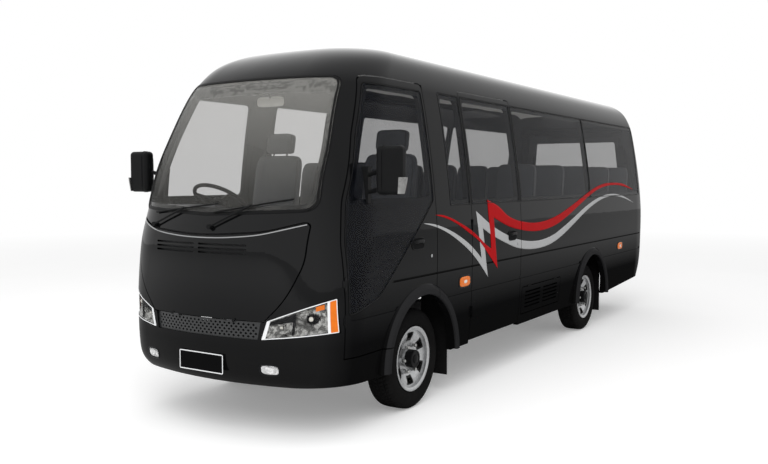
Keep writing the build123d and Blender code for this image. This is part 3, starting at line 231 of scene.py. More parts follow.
@dataclass(frozen=True)
class Finish:
    """An opaque finish with fine relief and a slight change of shade.

    Pitch and depth are those of the grain, patch and spread those of the cloudy change of shade: how many
    clouds to a metre, and how far about the middle of the noise the change reaches. Dust gathers low down.
    """

    name: str
    colour: tuple[float, float, float]
    roughness: float
    grain: Grain = Grain.PEBBLE
    pitch: float = 0.002
    depth: float = 0.0003
    metallic: float = 0.0
    coat: float = 0.0
    shade: float = 0.25
    sheen: float = 0.0
    # glow: emission, for lamp lenses, and painted light where a part that is no lamp glows
    glow: float = 0.0
    specular: float = 0.5
    dust: float = 0.0
    patch: float = 2.3
    spread: float = 0.2

    def height(self, shader: Shader, vector: Sock, x: Sock, y: Sock, z: Sock) -> Sock:
        """Height of the grain, as its name says, from 0 to 1.

        Args:
            shader: the material's tree.
            vector: object coordinates.
            x: their X.
            y: their Y.
            z: their Z.
        Returns:
            The height.
        """
        turn = 2 * math.pi / self.pitch
        if self.grain is Grain.WEAVE:
            threads = ((x + y) * turn).sine() * (z * turn).sine()
            return threads * 0.5 + shader.noise(vector, 0.5 / self.pitch) * 0.5
        if self.grain is Grain.RIBS:
            return ((x + y) * turn).sine() * 0.5 + 0.5
        if self.grain is Grain.BRUSHED:
            return shader.noise(vector, 0.4 / self.pitch, 4.0, 0.7)
        if self.grain is Grain.PEBBLE:
            return shader.cells(vector, 1 / self.pitch)
        if self.grain is Grain.PILE:
            return shader.noise(vector, 1 / self.pitch, 2.0, 0.8)
        return shader.noise(vector, 1 / self.pitch, 3.0, 0.6)

    def material(self) -> bpy.types.Material:
        """The material of this finish, made once.

        Returns:
            The material.
        """
        kept = bpy.data.materials.get(self.name)
        if kept:
            return kept
        shader = Shader(self.name)
        vector, x, y, z = shader.place()
        broad = shader.noise(vector, self.patch, 4.0, 0.6)
        fine = shader.noise(vector, 38.0, 4.0, 0.65)
        low = tuple(c * (1 - self.shade) for c in self.colour)
        high = tuple(min(1.0, c * (1 + self.shade)) for c in self.colour)
        cloud = broad.ramp(0.5 - self.spread, 0.5 + self.spread)
        colour = shader.blend(low, high, cloud * 0.6 + fine.ramp(0.3, 0.7) * 0.4)
        if self.dust:
            colour = shader.blend(colour, DUST, (DUST_TOP - z).ramp(0.0, 0.9) * fine * self.dust)
        rough = fine * 0.16 + (self.roughness - 0.08)
        normal = shader.relief(self.height(shader, vector, x, y, z), self.depth)
        settings = {"Base_Color": colour, "Roughness": rough, "Metallic": self.metallic, "Normal": normal,
                    "Coat_Weight": self.coat, "Specular_IOR_Level": self.specular}
        if self.sheen:
            settings["Sheen_Weight"] = self.sheen
        if self.glow:
            settings["Emission_Color"] = colour
            settings["Emission_Strength"] = self.glow
        return shader.surface(**settings)


@dataclass(frozen=True)
class BodyPaint:
    """Black gloss paint: soft waves, a rougher skirt, plastic flares, painted shade in the waist groove,
    painted sheen.
    """

    name: str = "black_gloss_paint"
    black: tuple[float, float, float] = (0.0030, 0.0031, 0.0034)
    flare: tuple[float, float, float] = (0.020, 0.020, 0.021)
    line: tuple[float, float, float] = (0.0015, 0.0015, 0.0015)
    flare_r: float = 0.59
    flare_x: tuple[float, float] = (0.9605, 0.9625)
    side_x: float = 0.90
    side_y: tuple[float, float] = (-2.78, 3.38)
    line_z: float = 0.995
    line_half: float = 0.0075

    def material(self) -> bpy.types.Material:
        """The material of the body panels, made once.

        Returns:
            The material.
        """
        kept = bpy.data.materials.get(self.name)
        if kept:
            return kept
        shader = Shader(self.name)
        vector, x, y, z = shader.place()
        waves = shader.noise(vector, 210.0, 2.0, 0.5)
        flakes = shader.noise(vector, 1800.0, 1.0, 0.5)
        film = shader.noise(vector, 5.0, 5.0, 0.65)
        front, rear = (((y - axle) * (y - axle) + (z - TYRE_R) * (z - TYRE_R)).root() for _, axle in AXLES)
        near = (front < self.flare_r) + (rear < self.flare_r)
        flare = near * abs(x).ramp(*self.flare_x)
        side = (abs(x) > self.side_x) * (y > self.side_y[0]) * (y < self.side_y[1])
        # painted shade: along the waist groove the paint is drawn darker, rougher and with less coat,
        # standing in for the shade inside the groove
        line = side * (abs(z - self.line_z) < self.line_half)
        skirt = z.ramp(0.42, 0.80, 1.0, 0.0)
        base = shader.blend(self.black, (0.0060, 0.0062, 0.0068), flakes.ramp(0.45, 0.75))
        base = shader.blend(base, (0.0042, 0.0040, 0.0038), skirt * film)
        base = shader.blend(base, self.flare, flare)
        base = shader.blend(base, self.line, line)
        dull = flare.top(line)
        rough = 0.22 + skirt * 0.18 + flare * 0.25 + line * 0.3 + film * 0.05
        # painted sheen and shade: the coat weight, and so the strength of the reflections, is low on the
        # skirt, rises to the waist, is full over the roof and raised on the nose and tail, so the low sides
        # look darker and the roof and the ends brighter than even paint
        nose = y.ramp(-3.45, -3.25, 0.24, 0.0) + y.ramp(3.25, 3.45, 0.0, 0.30)
        coat = (1.0 - dull * 0.7) * (z.ramp(0.62, 1.05, 0.015, 0.38) + z.ramp(2.35, 2.65, 0.0, 1.0) + nose)
        normal = shader.relief(waves, 0.00012, 0.35)
        return shader.surface(Base_Color=base, Roughness=rough, Normal=normal, Coat_Weight=coat,
                              Coat_Roughness=0.04, Coat_IOR=1.42, Specular_IOR_Level=0.0)


@dataclass(frozen=True)
class WheelPaint:
    """Silver paint on the face of a wheel, with painted shade near black behind the face and round its six
    windows.
    """

    name: str = "wheel_silver_paint"
    silver: tuple[float, float, float] = (0.50, 0.505, 0.51)
    worn: tuple[float, float, float] = (0.36, 0.365, 0.37)
    # dark: colour of the painted shade
    dark: tuple[float, float, float] = (0.004, 0.004, 0.004)
    plane: float = 0.8015
    split: float = -0.43
    windows: float = 6.0
    window_r: tuple[float, float] = (0.131, 0.197)

    def material(self) -> bpy.types.Material:
        """The material of the wheels, made once.

        Returns:
            The material.
        """
        kept = bpy.data.materials.get(self.name)
        if kept:
            return kept
        shader = Shader(self.name)
        vector, x, y, z = shader.place()
        fine = shader.noise(vector, 60.0, 4.0, 0.6)
        across = y - ((y > self.split) * (REAR_AXLE_Y - FRONT_AXLE_Y) + FRONT_AXLE_Y)
        up = z - TYRE_R
        reach = (across * across + up * up).root()
        turn = shader.node("ShaderNodeMath", {"operation": "ARCTAN2"}, {0: up, 1: across})
        lobes = (turn * self.windows + math.pi / 2).sine()
        # painted shade: dark patches round each window, making the windows look larger and deeper, and near
        # black over all that lies inward of the face plane
        window = (lobes < -0.08) * (reach > self.window_r[0]) * (reach < self.window_r[1])
        behind = (abs(x) < self.plane).top(window)
        colour = shader.blend(shader.blend(self.silver, self.worn, fine.ramp(0.35, 0.7)), self.dark, behind)
        rough = fine * 0.12 + 0.24 + behind * 0.4
        normal = shader.relief(shader.noise(vector, 700.0, 2.0), 0.0001)
        return shader.surface(Base_Color=colour, Roughness=rough, Metallic=0.85 - behind * 0.85,
                              Normal=normal, Specular_IOR_Level=0.3)


@dataclass(frozen=True)
class Glass:
    """A thin film that stops a share of the light, its cover, and more towards the top by its band."""

    name: str
    tint: tuple[float, float, float]
    roughness: float = 0.02
    ribs: float = 0.0
    cover: float = 0.05
    specular: float = 0.5
    band: float = 0.0

    def material(self) -> bpy.types.Material:
        """The material of this glass, made once.

        Returns:
            The material.
        """
        kept = bpy.data.materials.get(self.name)
        if kept:
            return kept
        shader = Shader(self.name)
        vector, x, _, z = shader.place()
        film = shader.noise(vector, 6.0, 5.0, 0.6)
        tint = shader.blend(self.tint, tuple(min(1.0, c * 1.06) for c in self.tint), film)
        rough = film * 0.012 + self.roughness
        if self.ribs:
            normal = shader.relief((x * (2 * math.pi / self.ribs)).sine(), 0.0006)
        else:
            normal = shader.relief(shader.noise(vector, 1.5, 1.0), 0.0002, 0.1)
        # band: painted reflection; the pale film thickens towards the top, so the glass looks paler there
        share = film * 0.02 + (self.cover - 0.01) + z.ramp(1.62, 2.36, 0.0, self.band)
        return shader.surface(Base_Color=tint, Roughness=rough, Normal=normal, Alpha=share,
                              Specular_IOR_Level=self.specular)


PAINT = BodyPaint()
SATIN = Finish("satin_black_plastic", (0.006, 0.0062, 0.0066), 0.42, Grain.PEBBLE, 0.0012, 0.0001,
               specular=0.10)
MESH_BLACK = Finish("grille_satin_black", (0.020, 0.021, 0.022), 0.4, Grain.PEEL, 0.003, 0.0001)
TRIM = Finish("black_trim", (0.006, 0.0062, 0.0065), 0.5, Grain.PEBBLE, 0.0015, 0.00012, specular=0.10)
RUBBER = Finish("seal_rubber", (0.004, 0.004, 0.0042), 0.55, Grain.PEEL, 0.004, 0.0001, specular=0.15)
FLAP = Finish("flap_compound", (0.007, 0.007, 0.0075), 0.75, Grain.PEBBLE, 0.005, 0.0006, specular=0.02,
              dust=0.03)
DEEP = Finish("deep_black", (0.004, 0.004, 0.0045), 0.85, Grain.CAST, 0.004, 0.0002, specular=0.1)
BRIGHT = Finish("bright_trim", (0.40, 0.405, 0.41), 0.30, Grain.BRUSHED, 0.0008, 0.00003, metallic=1.0,
                shade=0.08)
# headlamp reflector: its base colour swings in small patches from near black to bright, painted reflections
# for the glints of the chrome
REFLECTOR_PAINTED_GLINTS = Finish("reflector_metal", (0.27, 0.27, 0.26), 0.14, Grain.CAST, 0.030, 0.0060, metallic=1.0,
                shade=0.93, patch=24.0, spread=0.05)
WHITE = Finish("white_surround", (0.82, 0.83, 0.84), 0.3, Grain.PEEL, 0.004, 0.00005, coat=0.4, shade=0.04)
LAMP_BLACK = Finish("lamp_bezel", (0.006, 0.0063, 0.007), 0.35, Grain.PEBBLE, 0.002, 0.0001, specular=0.08)
AMBER = Finish("amber_lens", (0.74, 0.165, 0.008), 0.3, Grain.RIBS, 0.006, 0.0004, coat=0.12, shade=0.14,
               glow=0.04, specular=0.15)
RED_LENS = Finish("red_lens", (0.50, 0.015, 0.012), 0.2, Grain.RIBS, 0.006, 0.0004, coat=1.0, shade=0.12,
                  glow=0.05)
PALE_LENS = Finish("pale_lens", (0.74, 0.72, 0.66), 0.18, Grain.RIBS, 0.005, 0.0004, coat=1.0, shade=0.08)
SILVER_FILM = Finish("silver_film", (0.40, 0.405, 0.41), 0.45, Grain.PEEL, 0.0006, 0.00004, specular=0.25,
                     shade=0.06)
RED_FILM = Finish("red_film", (0.40, 0.004, 0.006), 0.45, Grain.PEEL, 0.0006, 0.00004, specular=0.02,
                  shade=0.10)
WHEEL = WheelPaint()
HUB = Finish("hub_black", (0.004, 0.004, 0.0045), 0.45, Grain.CAST, 0.003, 0.0002, specular=0.10)
NUT = Finish("zinc_nut", (0.42, 0.42, 0.41), 0.35, Grain.BRUSHED, 0.001, 0.0001, metallic=1.0)
TYRE = Finish("tread_compound", (0.0065, 0.0065, 0.0068), 0.72, Grain.PEBBLE, 0.003, 0.0002, shade=0.3,
              specular=0.01, dust=0.03)
CHASSIS = Finish("chassis_paint", (0.010, 0.0105, 0.0115), 0.5, Grain.CAST, 0.006, 0.0003, shade=0.35,
                 specular=0.25, dust=0.12)
IRON = Finish("cast_iron", (0.10, 0.10, 0.10), 0.6, Grain.CAST, 0.005, 0.0006, metallic=0.6, shade=0.3,
              dust=0.15)
VINYL = Finish("ribbed_floor", (0.045, 0.047, 0.05), 0.6, Grain.RIBS, 0.018, 0.0008)
DASH = Finish("dash_grain", (0.055, 0.056, 0.058), 0.6, Grain.PEBBLE, 0.0025, 0.0003)
CLOTH = Finish("seat_cloth", (0.060, 0.064, 0.072), 0.9, Grain.WEAVE, 0.0042, 0.0007, shade=0.3, sheen=0.4)
PIPING = Finish("seat_piping", (0.022, 0.023, 0.026), 0.6, Grain.PEBBLE, 0.002, 0.0002)
# pale cloth that also glows though no lamp lights it: painted light for the bright ceiling seen through the
# windscreen
LINING_PAINTED_GLOW = Finish("headlining_cloth", (0.58, 0.57, 0.54), 0.9, Grain.PILE, 0.0025, 0.0004, shade=0.08,
                sheen=0.3, glow=0.22)
PANEL = Finish("side_lining", (0.085, 0.086, 0.088), 0.75, Grain.PEBBLE, 0.003, 0.0003)
PLATE = Finish("plate_black", (0.0022, 0.0022, 0.0024), 0.5, Grain.PEEL, 0.004, 0.00005, specular=0.03)
SIDE_LENS = Finish("mirror_corner_lens", (0.24, 0.24, 0.235), 0.15, Grain.CAST, 0.022, 0.0045, metallic=0.8,
                   shade=0.55)
MIRROR = Finish("mirror_silver", (0.85, 0.86, 0.87), 0.05, Grain.PEEL, 0.05, 0.00001, metallic=1.0,
                shade=0.02)
# windscreen: its pale film is a painted reflection, a milky haze over the glass that grows towards the top by
# its band
CLEAR = Glass("windscreen_glass", (0.42, 0.415, 0.39), cover=0.05, specular=0.5, band=0.17)
TINTED = Glass("dark_pane_glass", (0.006, 0.007, 0.010), cover=0.29, specular=0.12)
LENS = Glass("clear_lens", (0.10, 0.10, 0.10), cover=0.04, specular=0.12)
FLUTED = Glass("fluted_lens", (0.75, 0.76, 0.76), 0.05, 0.009, cover=0.12)
FOG_BOWL = Finish("fog_reflector", (0.72, 0.72, 0.72), 0.2, Grain.CAST, 0.020, 0.0030, metallic=0.9,
                  shade=0.35, glow=0.02, patch=30.0, spread=0.06)


def coat(obj: bpy.types.Object, finish: "Finish | BodyPaint | Glass") -> None:
    """Gives every face of an object one finish."""
    obj.data.materials.clear()
    obj.data.materials.append(finish.material())


# --- Shapes -----------------------------------------------------------------------------------
def signed_power(value: np.ndarray, power: float) -> np.ndarray:
    """The size of each value raised to a power, with its sign kept."""
    return np.sign(value) * np.abs(value) ** power


def quads(rows: int, columns: int, around: bool) -> np.ndarray:
    """Corner numbers of the cells of a grid, row by row.

    Args:
        rows: points along the first parameter.
        columns: points along the second.
        around: whether the second parameter closes on itself.
    Returns:
        One row of four numbers for each cell.
    """
    grid = np.arange(rows * columns).reshape(rows, columns)
    if around:
        grid = np.concatenate([grid, grid[:, :1]], axis=1)
    cells = np.stack([grid[:-1, :-1], grid[1:, :-1], grid[1:, 1:], grid[:-1, 1:]], axis=-1)
    return cells.reshape(-1, 4)


def smooth(obj: bpy.types.Object, angle: float = 40.0) -> None:
    """Smooth shading with sharp edges past an angle in degrees."""
    obj.data.shade_smooth()
    obj.data.set_sharp_from_angle(angle=math.radians(angle))


def tidy(obj: bpy.types.Object, closed: bool, facing: Sequence[float] | None = None) -> None:
    """Merges doubles and points the faces outwards.

    Args:
        obj: the piece.
        closed: whether the mesh encloses a volume.
        facing: direction that the faces of an open sheet look in on the whole.
    """
    work = bmesh.new()
    work.from_mesh(obj.data)
    bmesh.ops.remove_doubles(work, verts=work.verts, dist=2e-6)
    bmesh.ops.recalc_face_normals(work, faces=work.faces)
    if facing is not None and not closed:
        work.normal_update()
        weights = np.array([f.calc_area() for f in work.faces])[:, None]
        mean = (np.array([f.normal[:] for f in work.faces]) * weights).sum(axis=0)
        if float(mean @ np.asarray(facing, dtype=float)) < 0:
            bmesh.ops.reverse_faces(work, faces=work.faces)
    work.to_mesh(obj.data)
    work.free()


def piece(name: str, points: np.ndarray, faces: np.ndarray | list, body: str, finish: object,
          closed: bool = True, facing: Sequence[float] | None = None,
          angle: float = 40.0) -> bpy.types.Object:
    """Makes one finished piece that rides on a body.

    Args:
        name: its name.
        points: its points, in metres in the shared frame.
        faces: corner numbers of its faces.
        body: the body that it rides on.
        finish: its finish.
        closed: whether the mesh encloses a volume.
        facing: direction that an open sheet looks in.
        angle: edges sharper than this many degrees stay sharp.
    Returns:
        The piece.
    """
    mesh = bpy.data.meshes.new(name)
    listed = faces.tolist() if isinstance(faces, np.ndarray) else faces
    mesh.from_pydata(points.reshape(-1, 3).tolist(), [], listed)
    obj = bpy.data.objects.new(name, mesh)
    bpy.context.scene.collection.objects.link(obj)
    tidy(obj, closed, facing)
    smooth(obj, angle)
    coat(obj, finish)
    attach(obj, body)
    LOG.info("piece %s rides on %s with %d faces", name, body, len(mesh.polygons))
    return obj


def sheet_faces(points: np.ndarray, around: bool = False) -> np.ndarray:
    """Faces of a grid of points."""
    return quads(points.shape[0], points.shape[1], around)


def joined(parts: Sequence[tuple[np.ndarray, np.ndarray | list]]) -> tuple[np.ndarray, list]:
    """Several point sets and their faces as one mesh.

    Args:
        parts: pairs of points and faces.
    Returns:
        All the points and all the faces.
    """
    points: list[np.ndarray] = []
    faces: list = []
    start = 0
    for place, cells in parts:
        flat = place.reshape(-1, 3)
        points.append(flat)
        if isinstance(cells, np.ndarray):
            faces.extend((cells + start).tolist())
        else:
            faces.extend([[index + start for index in cell] for cell in cells])
        start += len(flat)
    return np.concatenate(points), faces


def slab(sheet: np.ndarray, thickness: np.ndarray | Sequence[float]) -> tuple[np.ndarray, list]:
    """A grid of points and its copy moved by a vector, joined round their edges.

    Args:
        sheet: the outer grid.
        thickness: vector from the outer sheet to the inner one.
    Returns:
        Points and faces of the closed slab.
    """
    rows, columns = sheet.shape[:2]
    back = sheet + np.asarray(thickness, dtype=float)
    grid = np.arange(rows * columns).reshape(rows, columns)
    rim = np.concatenate([grid[0, :-1], grid[:-1, -1], grid[-1, :0:-1], grid[:0:-1, 0]])
    after = np.roll(rim, -1)
    count = rows * columns
    walls = np.stack([rim, after, after + count, rim + count], axis=-1)
    front = quads(rows, columns, False)
    faces = np.concatenate([front[:, ::-1], front + count, walls])
    return np.concatenate([sheet.reshape(-1, 3), back.reshape(-1, 3)]), faces.tolist()


def swept(path: np.ndarray, out: np.ndarray, section: np.ndarray, closed: bool) -> tuple[np.ndarray, list]:
    """A closed section carried along a path.

    Point = path + side times the section's first number + out times its second, where side is the path's
    direction crossed with out.

    Args:
        path: points of the path.
        out: outward vector, one for all or one for each point.
        section: closed section, as (side, out) in metres.
        closed: whether the path ends where it starts.
    Returns:
        Points and faces.
    """
    if closed:
        along = np.roll(path, -1, axis=0) - np.roll(path, 1, axis=0)
    else:
        along = np.gradient(path, axis=0)
    along = along / np.linalg.norm(along, axis=1, keepdims=True)
    up = np.broadcast_to(np.asarray(out, dtype=float), path.shape)
    up = up - along * np.sum(up * along, axis=1, keepdims=True)
    up = up / np.linalg.norm(up, axis=1, keepdims=True)
    side = np.cross(along, up)
    points = path[:, None] + side[:, None] * section[None, :, :1] + up[:, None] * section[None, :, 1:]
    rows, columns = points.shape[:2]
    if closed:
        return np.concatenate([points, points[:1]]), quads(rows + 1, columns, True).tolist()
    faces = quads(rows, columns, True).tolist()
    last = (rows - 1) * columns
    faces.append(list(range(columns))[::-1])
    faces.append(list(range(last, last + columns)))
    return points, faces


def oval(width: float, height: float, count: int = 12, power: float = 1.0, lift: float = 0.0) -> np.ndarray:
    """Closed oval section: half width times cosine, half height times sine, each to a power.

    Args:
        width: across.
        height: outwards.
        count: points.
        power: 1 for an ellipse, less for a squarer one.
        lift: how far its middle stands out.
    Returns:
        The (side, out) points.
    """
    turn = np.arange(count) * 2 * math.pi / count
    return np.stack([width / 2 * signed_power(np.cos(turn), power),
                     height / 2 * signed_power(np.sin(turn), power) + lift], axis=-1)


def rounded(corners: Sequence[tuple[float, float]], radii: Sequence[float],
            step: float = 0.012) -> np.ndarray:
    """Closed outline through corners, each rounded by a curve that touches both sides.

    Point of the curve = (1 - t) squared times its start, plus 2 t (1 - t) times the corner, plus t squared
    times its end.

    Args:
        corners: the corners, in order.
        radii: one radius for each.
        step: spacing of the points.
    Returns:
        Evenly spaced points, without a repeated end.
    """
    place = np.asarray(corners, dtype=float)
    before = place - np.roll(place, 1, axis=0)
    after = np.roll(place, -1, axis=0) - place
    before /= np.linalg.norm(before, axis=1, keepdims=True)
    after /= np.linalg.norm(after, axis=1, keepdims=True)
    turn = np.arccos(np.clip(np.sum(before * after, axis=1), -1, 1))
    reach = np.asarray(radii) * np.tan(turn / 2)
    share = np.linspace(0, 1, 9)[None, :, None]
    start = (place - before * reach[:, None])[:, None, :]
    end = (place + after * reach[:, None])[:, None, :]
    bend = (1 - share) ** 2 * start + 2 * share * (1 - share) * place[:, None, :] + share ** 2 * end
    points = bend.reshape(-1, 2)
    points = np.concatenate([points, points[:1]])
    run = np.concatenate([[0.0], np.cumsum(np.linalg.norm(np.diff(points, axis=0), axis=1))])
    count = max(8, int(run[-1] / step))
    at = np.linspace(0, run[-1], count, endpoint=False)
    return np.stack([np.interp(at, run, points[:, 0]), np.interp(at, run, points[:, 1])], axis=-1)


def flowing(points: Sequence[tuple[float, float]], count: int) -> np.ndarray:
    """Smooth curve through points: between neighbours, the cubic whose slopes are half the outer chords.

    Args:
        points: places that the curve passes.
        count: how many points to give.
    Returns:
        Points of the curve, by equal shares of its chords.
    """
    place = np.asarray(points, dtype=float)
    chord = np.concatenate([[0.0], np.cumsum(np.linalg.norm(np.diff(place, axis=0), axis=1))])
    slope = np.gradient(place, chord, axis=0)
    at = np.linspace(0, chord[-1], count)
    cell = np.clip(np.searchsorted(chord, at, side="right") - 1, 0, len(chord) - 2)
    width = (chord[cell + 1] - chord[cell])[:, None]
    t = ((at - chord[cell])[:, None]) / width
    return ((2 * t ** 3 - 3 * t ** 2 + 1) * place[cell] + (t ** 3 - 2 * t ** 2 + t) * width * slope[cell]
            + (3 * t ** 2 - 2 * t ** 3) * place[cell + 1] + (t ** 3 - t ** 2) * width * slope[cell + 1])


def pressed(points: np.ndarray, nodes: Sequence[str], axis: str, sign: int, lift: float = 0.0) -> np.ndarray:
    """Points carried along an axis until they meet a CAD node, then lifted back off it.

    Args:
        points: points that start outside the node.
        nodes: one or two CAD nodes.
        axis: "x", "y" or "z".
        sign: direction along the axis.
        lift: distance back from the surface.
    Returns:
        The moved points.
    """
    mesh = bpy.data.meshes.new("probe")
    mesh.from_pydata(points.reshape(-1, 3).tolist(), [], [])
    probe = bpy.data.objects.new("probe", mesh)
    bpy.context.scene.collection.objects.link(probe)
    wrap = probe.modifiers.new("wrap", "SHRINKWRAP")
    wrap.wrap_method = "PROJECT"
    wrap.target = NODES[nodes[0]]
    if len(nodes) > 1:
        wrap.auxiliary_target = NODES[nodes[1]]
    wrap.use_project_x = axis == "x"
    wrap.use_project_y = axis == "y"
    wrap.use_project_z = axis == "z"
    wrap.use_negative_direction = sign < 0
    wrap.use_positive_direction = sign > 0
    moved = np.empty(points.size)
    probe.evaluated_get(bpy.context.evaluated_depsgraph_get()).data.vertices.foreach_get("co", moved)
    bpy.data.objects.remove(probe)
    bpy.data.meshes.remove(mesh)
    result = moved.reshape(points.shape)
    result[..., "xyz".index(axis)] -= sign * lift
    return result


def spun(profile: np.ndarray, centre: Sequence[float], steps: int) -> np.ndarray:
    """A profile of (X, radius) turned round an axis along X through the centre.

    Args:
        profile: places (X, radius).
        centre: a point of the axis.
        steps: points round.
    Returns:
        Grid of points, a row for each place.
    """
    turn = np.arange(steps) * 2 * math.pi / steps
    x = np.broadcast_to(profile[:, None, 0], (len(profile), steps))
    points = np.stack([x, profile[:, None, 1] * np.cos(turn), profile[:, None, 1] * np.sin(turn)], axis=-1)
    return points + np.asarray(centre, dtype=float)


def squared_circle(count: int, power: float) -> np.ndarray:
    """Closed ring of half width 1: cosine and sine of even angles, each to a power."""
    turn = np.linspace(0, 2 * math.pi, count, endpoint=False)
    return np.stack([signed_power(np.cos(turn), power), signed_power(np.sin(turn), power)], axis=-1)


def grid(first: tuple[float, float, int], second: tuple[float, float, int]) -> tuple[np.ndarray, ...]:
    """Two even ranges, each (start, end, count), crossed so that the rows follow the first."""
    return tuple(np.meshgrid(np.linspace(*first), np.linspace(*second), indexing="ij"))


def from_end(flat: np.ndarray, nodes: Sequence[str], sign: int, lift: float = 0.0) -> np.ndarray:
    """Places (x, z) carried along Y onto CAD nodes, from behind at sign -1, and lifted back."""
    start = np.stack([flat[..., 0], np.full(flat.shape[:-1], -START_Y * sign), flat[..., 1]], axis=-1)
    return pressed(start, nodes, "y", sign, lift)


def bead(name: str, path: np.ndarray, out: Sequence[float], section: np.ndarray, body: str, finish: object,
         slot: str = "trim_black", closed: bool = True) -> bpy.types.Object:
    """Makes a piece of a closed section carried along a path."""
    points, faces = swept(path, np.asarray(out, dtype=float), section, closed)
    return piece(name, points, faces, body, finish)


def panel(name: str, sheet: np.ndarray, thickness: Sequence[float], finish: object,
          body: str = "body") -> bpy.types.Object:
    """Makes a piece of a sheet and its copy moved by a vector."""
    points, faces = slab(sheet, thickness)
    return piece(name, points, faces, body, finish)


def shell(name: str, points: np.ndarray, body: str, finish: object, facing: Sequence[float],
          around: bool = False, angle: float = 40.0) -> bpy.types.Object:
    """Makes an open piece of a grid of points that looks in a direction on the whole."""
    return piece(name, points, sheet_faces(points, around), body, finish, False, facing, angle)


class Side(Enum):
    """A side of the vehicle."""

    LEFT = 1
    RIGHT = -1

    def turned(self, points: np.ndarray) -> np.ndarray:
        """Points given for the left side, moved to this one."""
        return points * np.array([float(self.value), 1.0, 1.0])

    @property
    def word(self) -> str:
        """Its name in small letters."""
        return self.name.lower()


class SideSkin:
    """How far out the side of the body lies at each height, read from the CAD wall."""

    groove: tuple[float, float] = (0.803, 0.02)
    line: tuple[float, float] = (0.995, 0.014)
    place: float = -0.550

    def __init__(self) -> None:
        """Reads the wall between the entry door and the lid, away from its groove and its line."""
        level = np.linspace(0.40, 2.36, 180)
        clear = [np.abs(level - middle) > half for middle, half in (self.groove, self.line)]
        self.level = level[clear[0] & clear[1]]
        sides = [np.full_like(self.level, place) for place in (START_X, self.place)]
        self.reach = pressed(np.stack([*sides, self.level], axis=-1), ["side_left"], "x", -1)[:, 0]

    def at(self, z: np.ndarray, lift: float = 0.0) -> np.ndarray:
        """Distance of the skin from the centre plane at each height, plus a lift."""
        return np.interp(z, self.level, self.reach) + lift

    def on(self, outline: np.ndarray, lift: float = 0.0) -> np.ndarray:
        """Places (y, z) set on the left skin."""
        return np.concatenate([self.at(outline[..., 1], lift)[..., None], outline], axis=-1)


SKIN = SideSkin()


# --- Body -------------------------------------------------------------------------------------
@dataclass
class Panels:
    """Finishes of the CAD nodes that stay as they are."""

    finishes: dict[str, object] = field(default_factory=lambda: {
        **dict.fromkeys(["cab_front", "roof", "side_left", "side_right", "rear_wall", "front_hatch",
                         "front_bumper", "rear_bumper", "front_door_left", "front_door_right", "entry_door",
                         "service_lid"], PAINT),
        "grille": MESH_BLACK, "mirror_left": TRIM, "mirror_right": TRIM, "wipers": TRIM, "mudflaps": FLAP,
        "windscreen": CLEAR, "saloon_glass": TINTED, "door_glass_left": TINTED, "door_glass_right": TINTED,
        "entry_glass": TINTED, "floor": VINYL, "dashboard": DASH, "steering_wheel": SATIN,
        "front_axle": CHASSIS, "rear_axle": CHASSIS, "knuckle_left": CHASSIS, "knuckle_right": CHASSIS,
        "tie_rod": CHASSIS, "chassis_frame": CHASSIS, "driveline": IRON, "tank_and_exhaust": CHASSIS,
        "rim_front_left": WHEEL, "rim_front_right": WHEEL, "rim_rear_left": WHEEL, "rim_rear_right": WHEEL,
        "tyre_front_left": TYRE, "tyre_front_right": TYRE, "tyre_rear_left": TYRE, "tyre_rear_right": TYRE,
        "front_lamps": LENS, "signal_lamps": AMBER, "front_seats": CLOTH, "passenger_seats": CLOTH})

    def dress(self) -> None:
        """Gives each node its finish."""
        for name, finish in self.finishes.items():
            coat(NODES[name], finish)


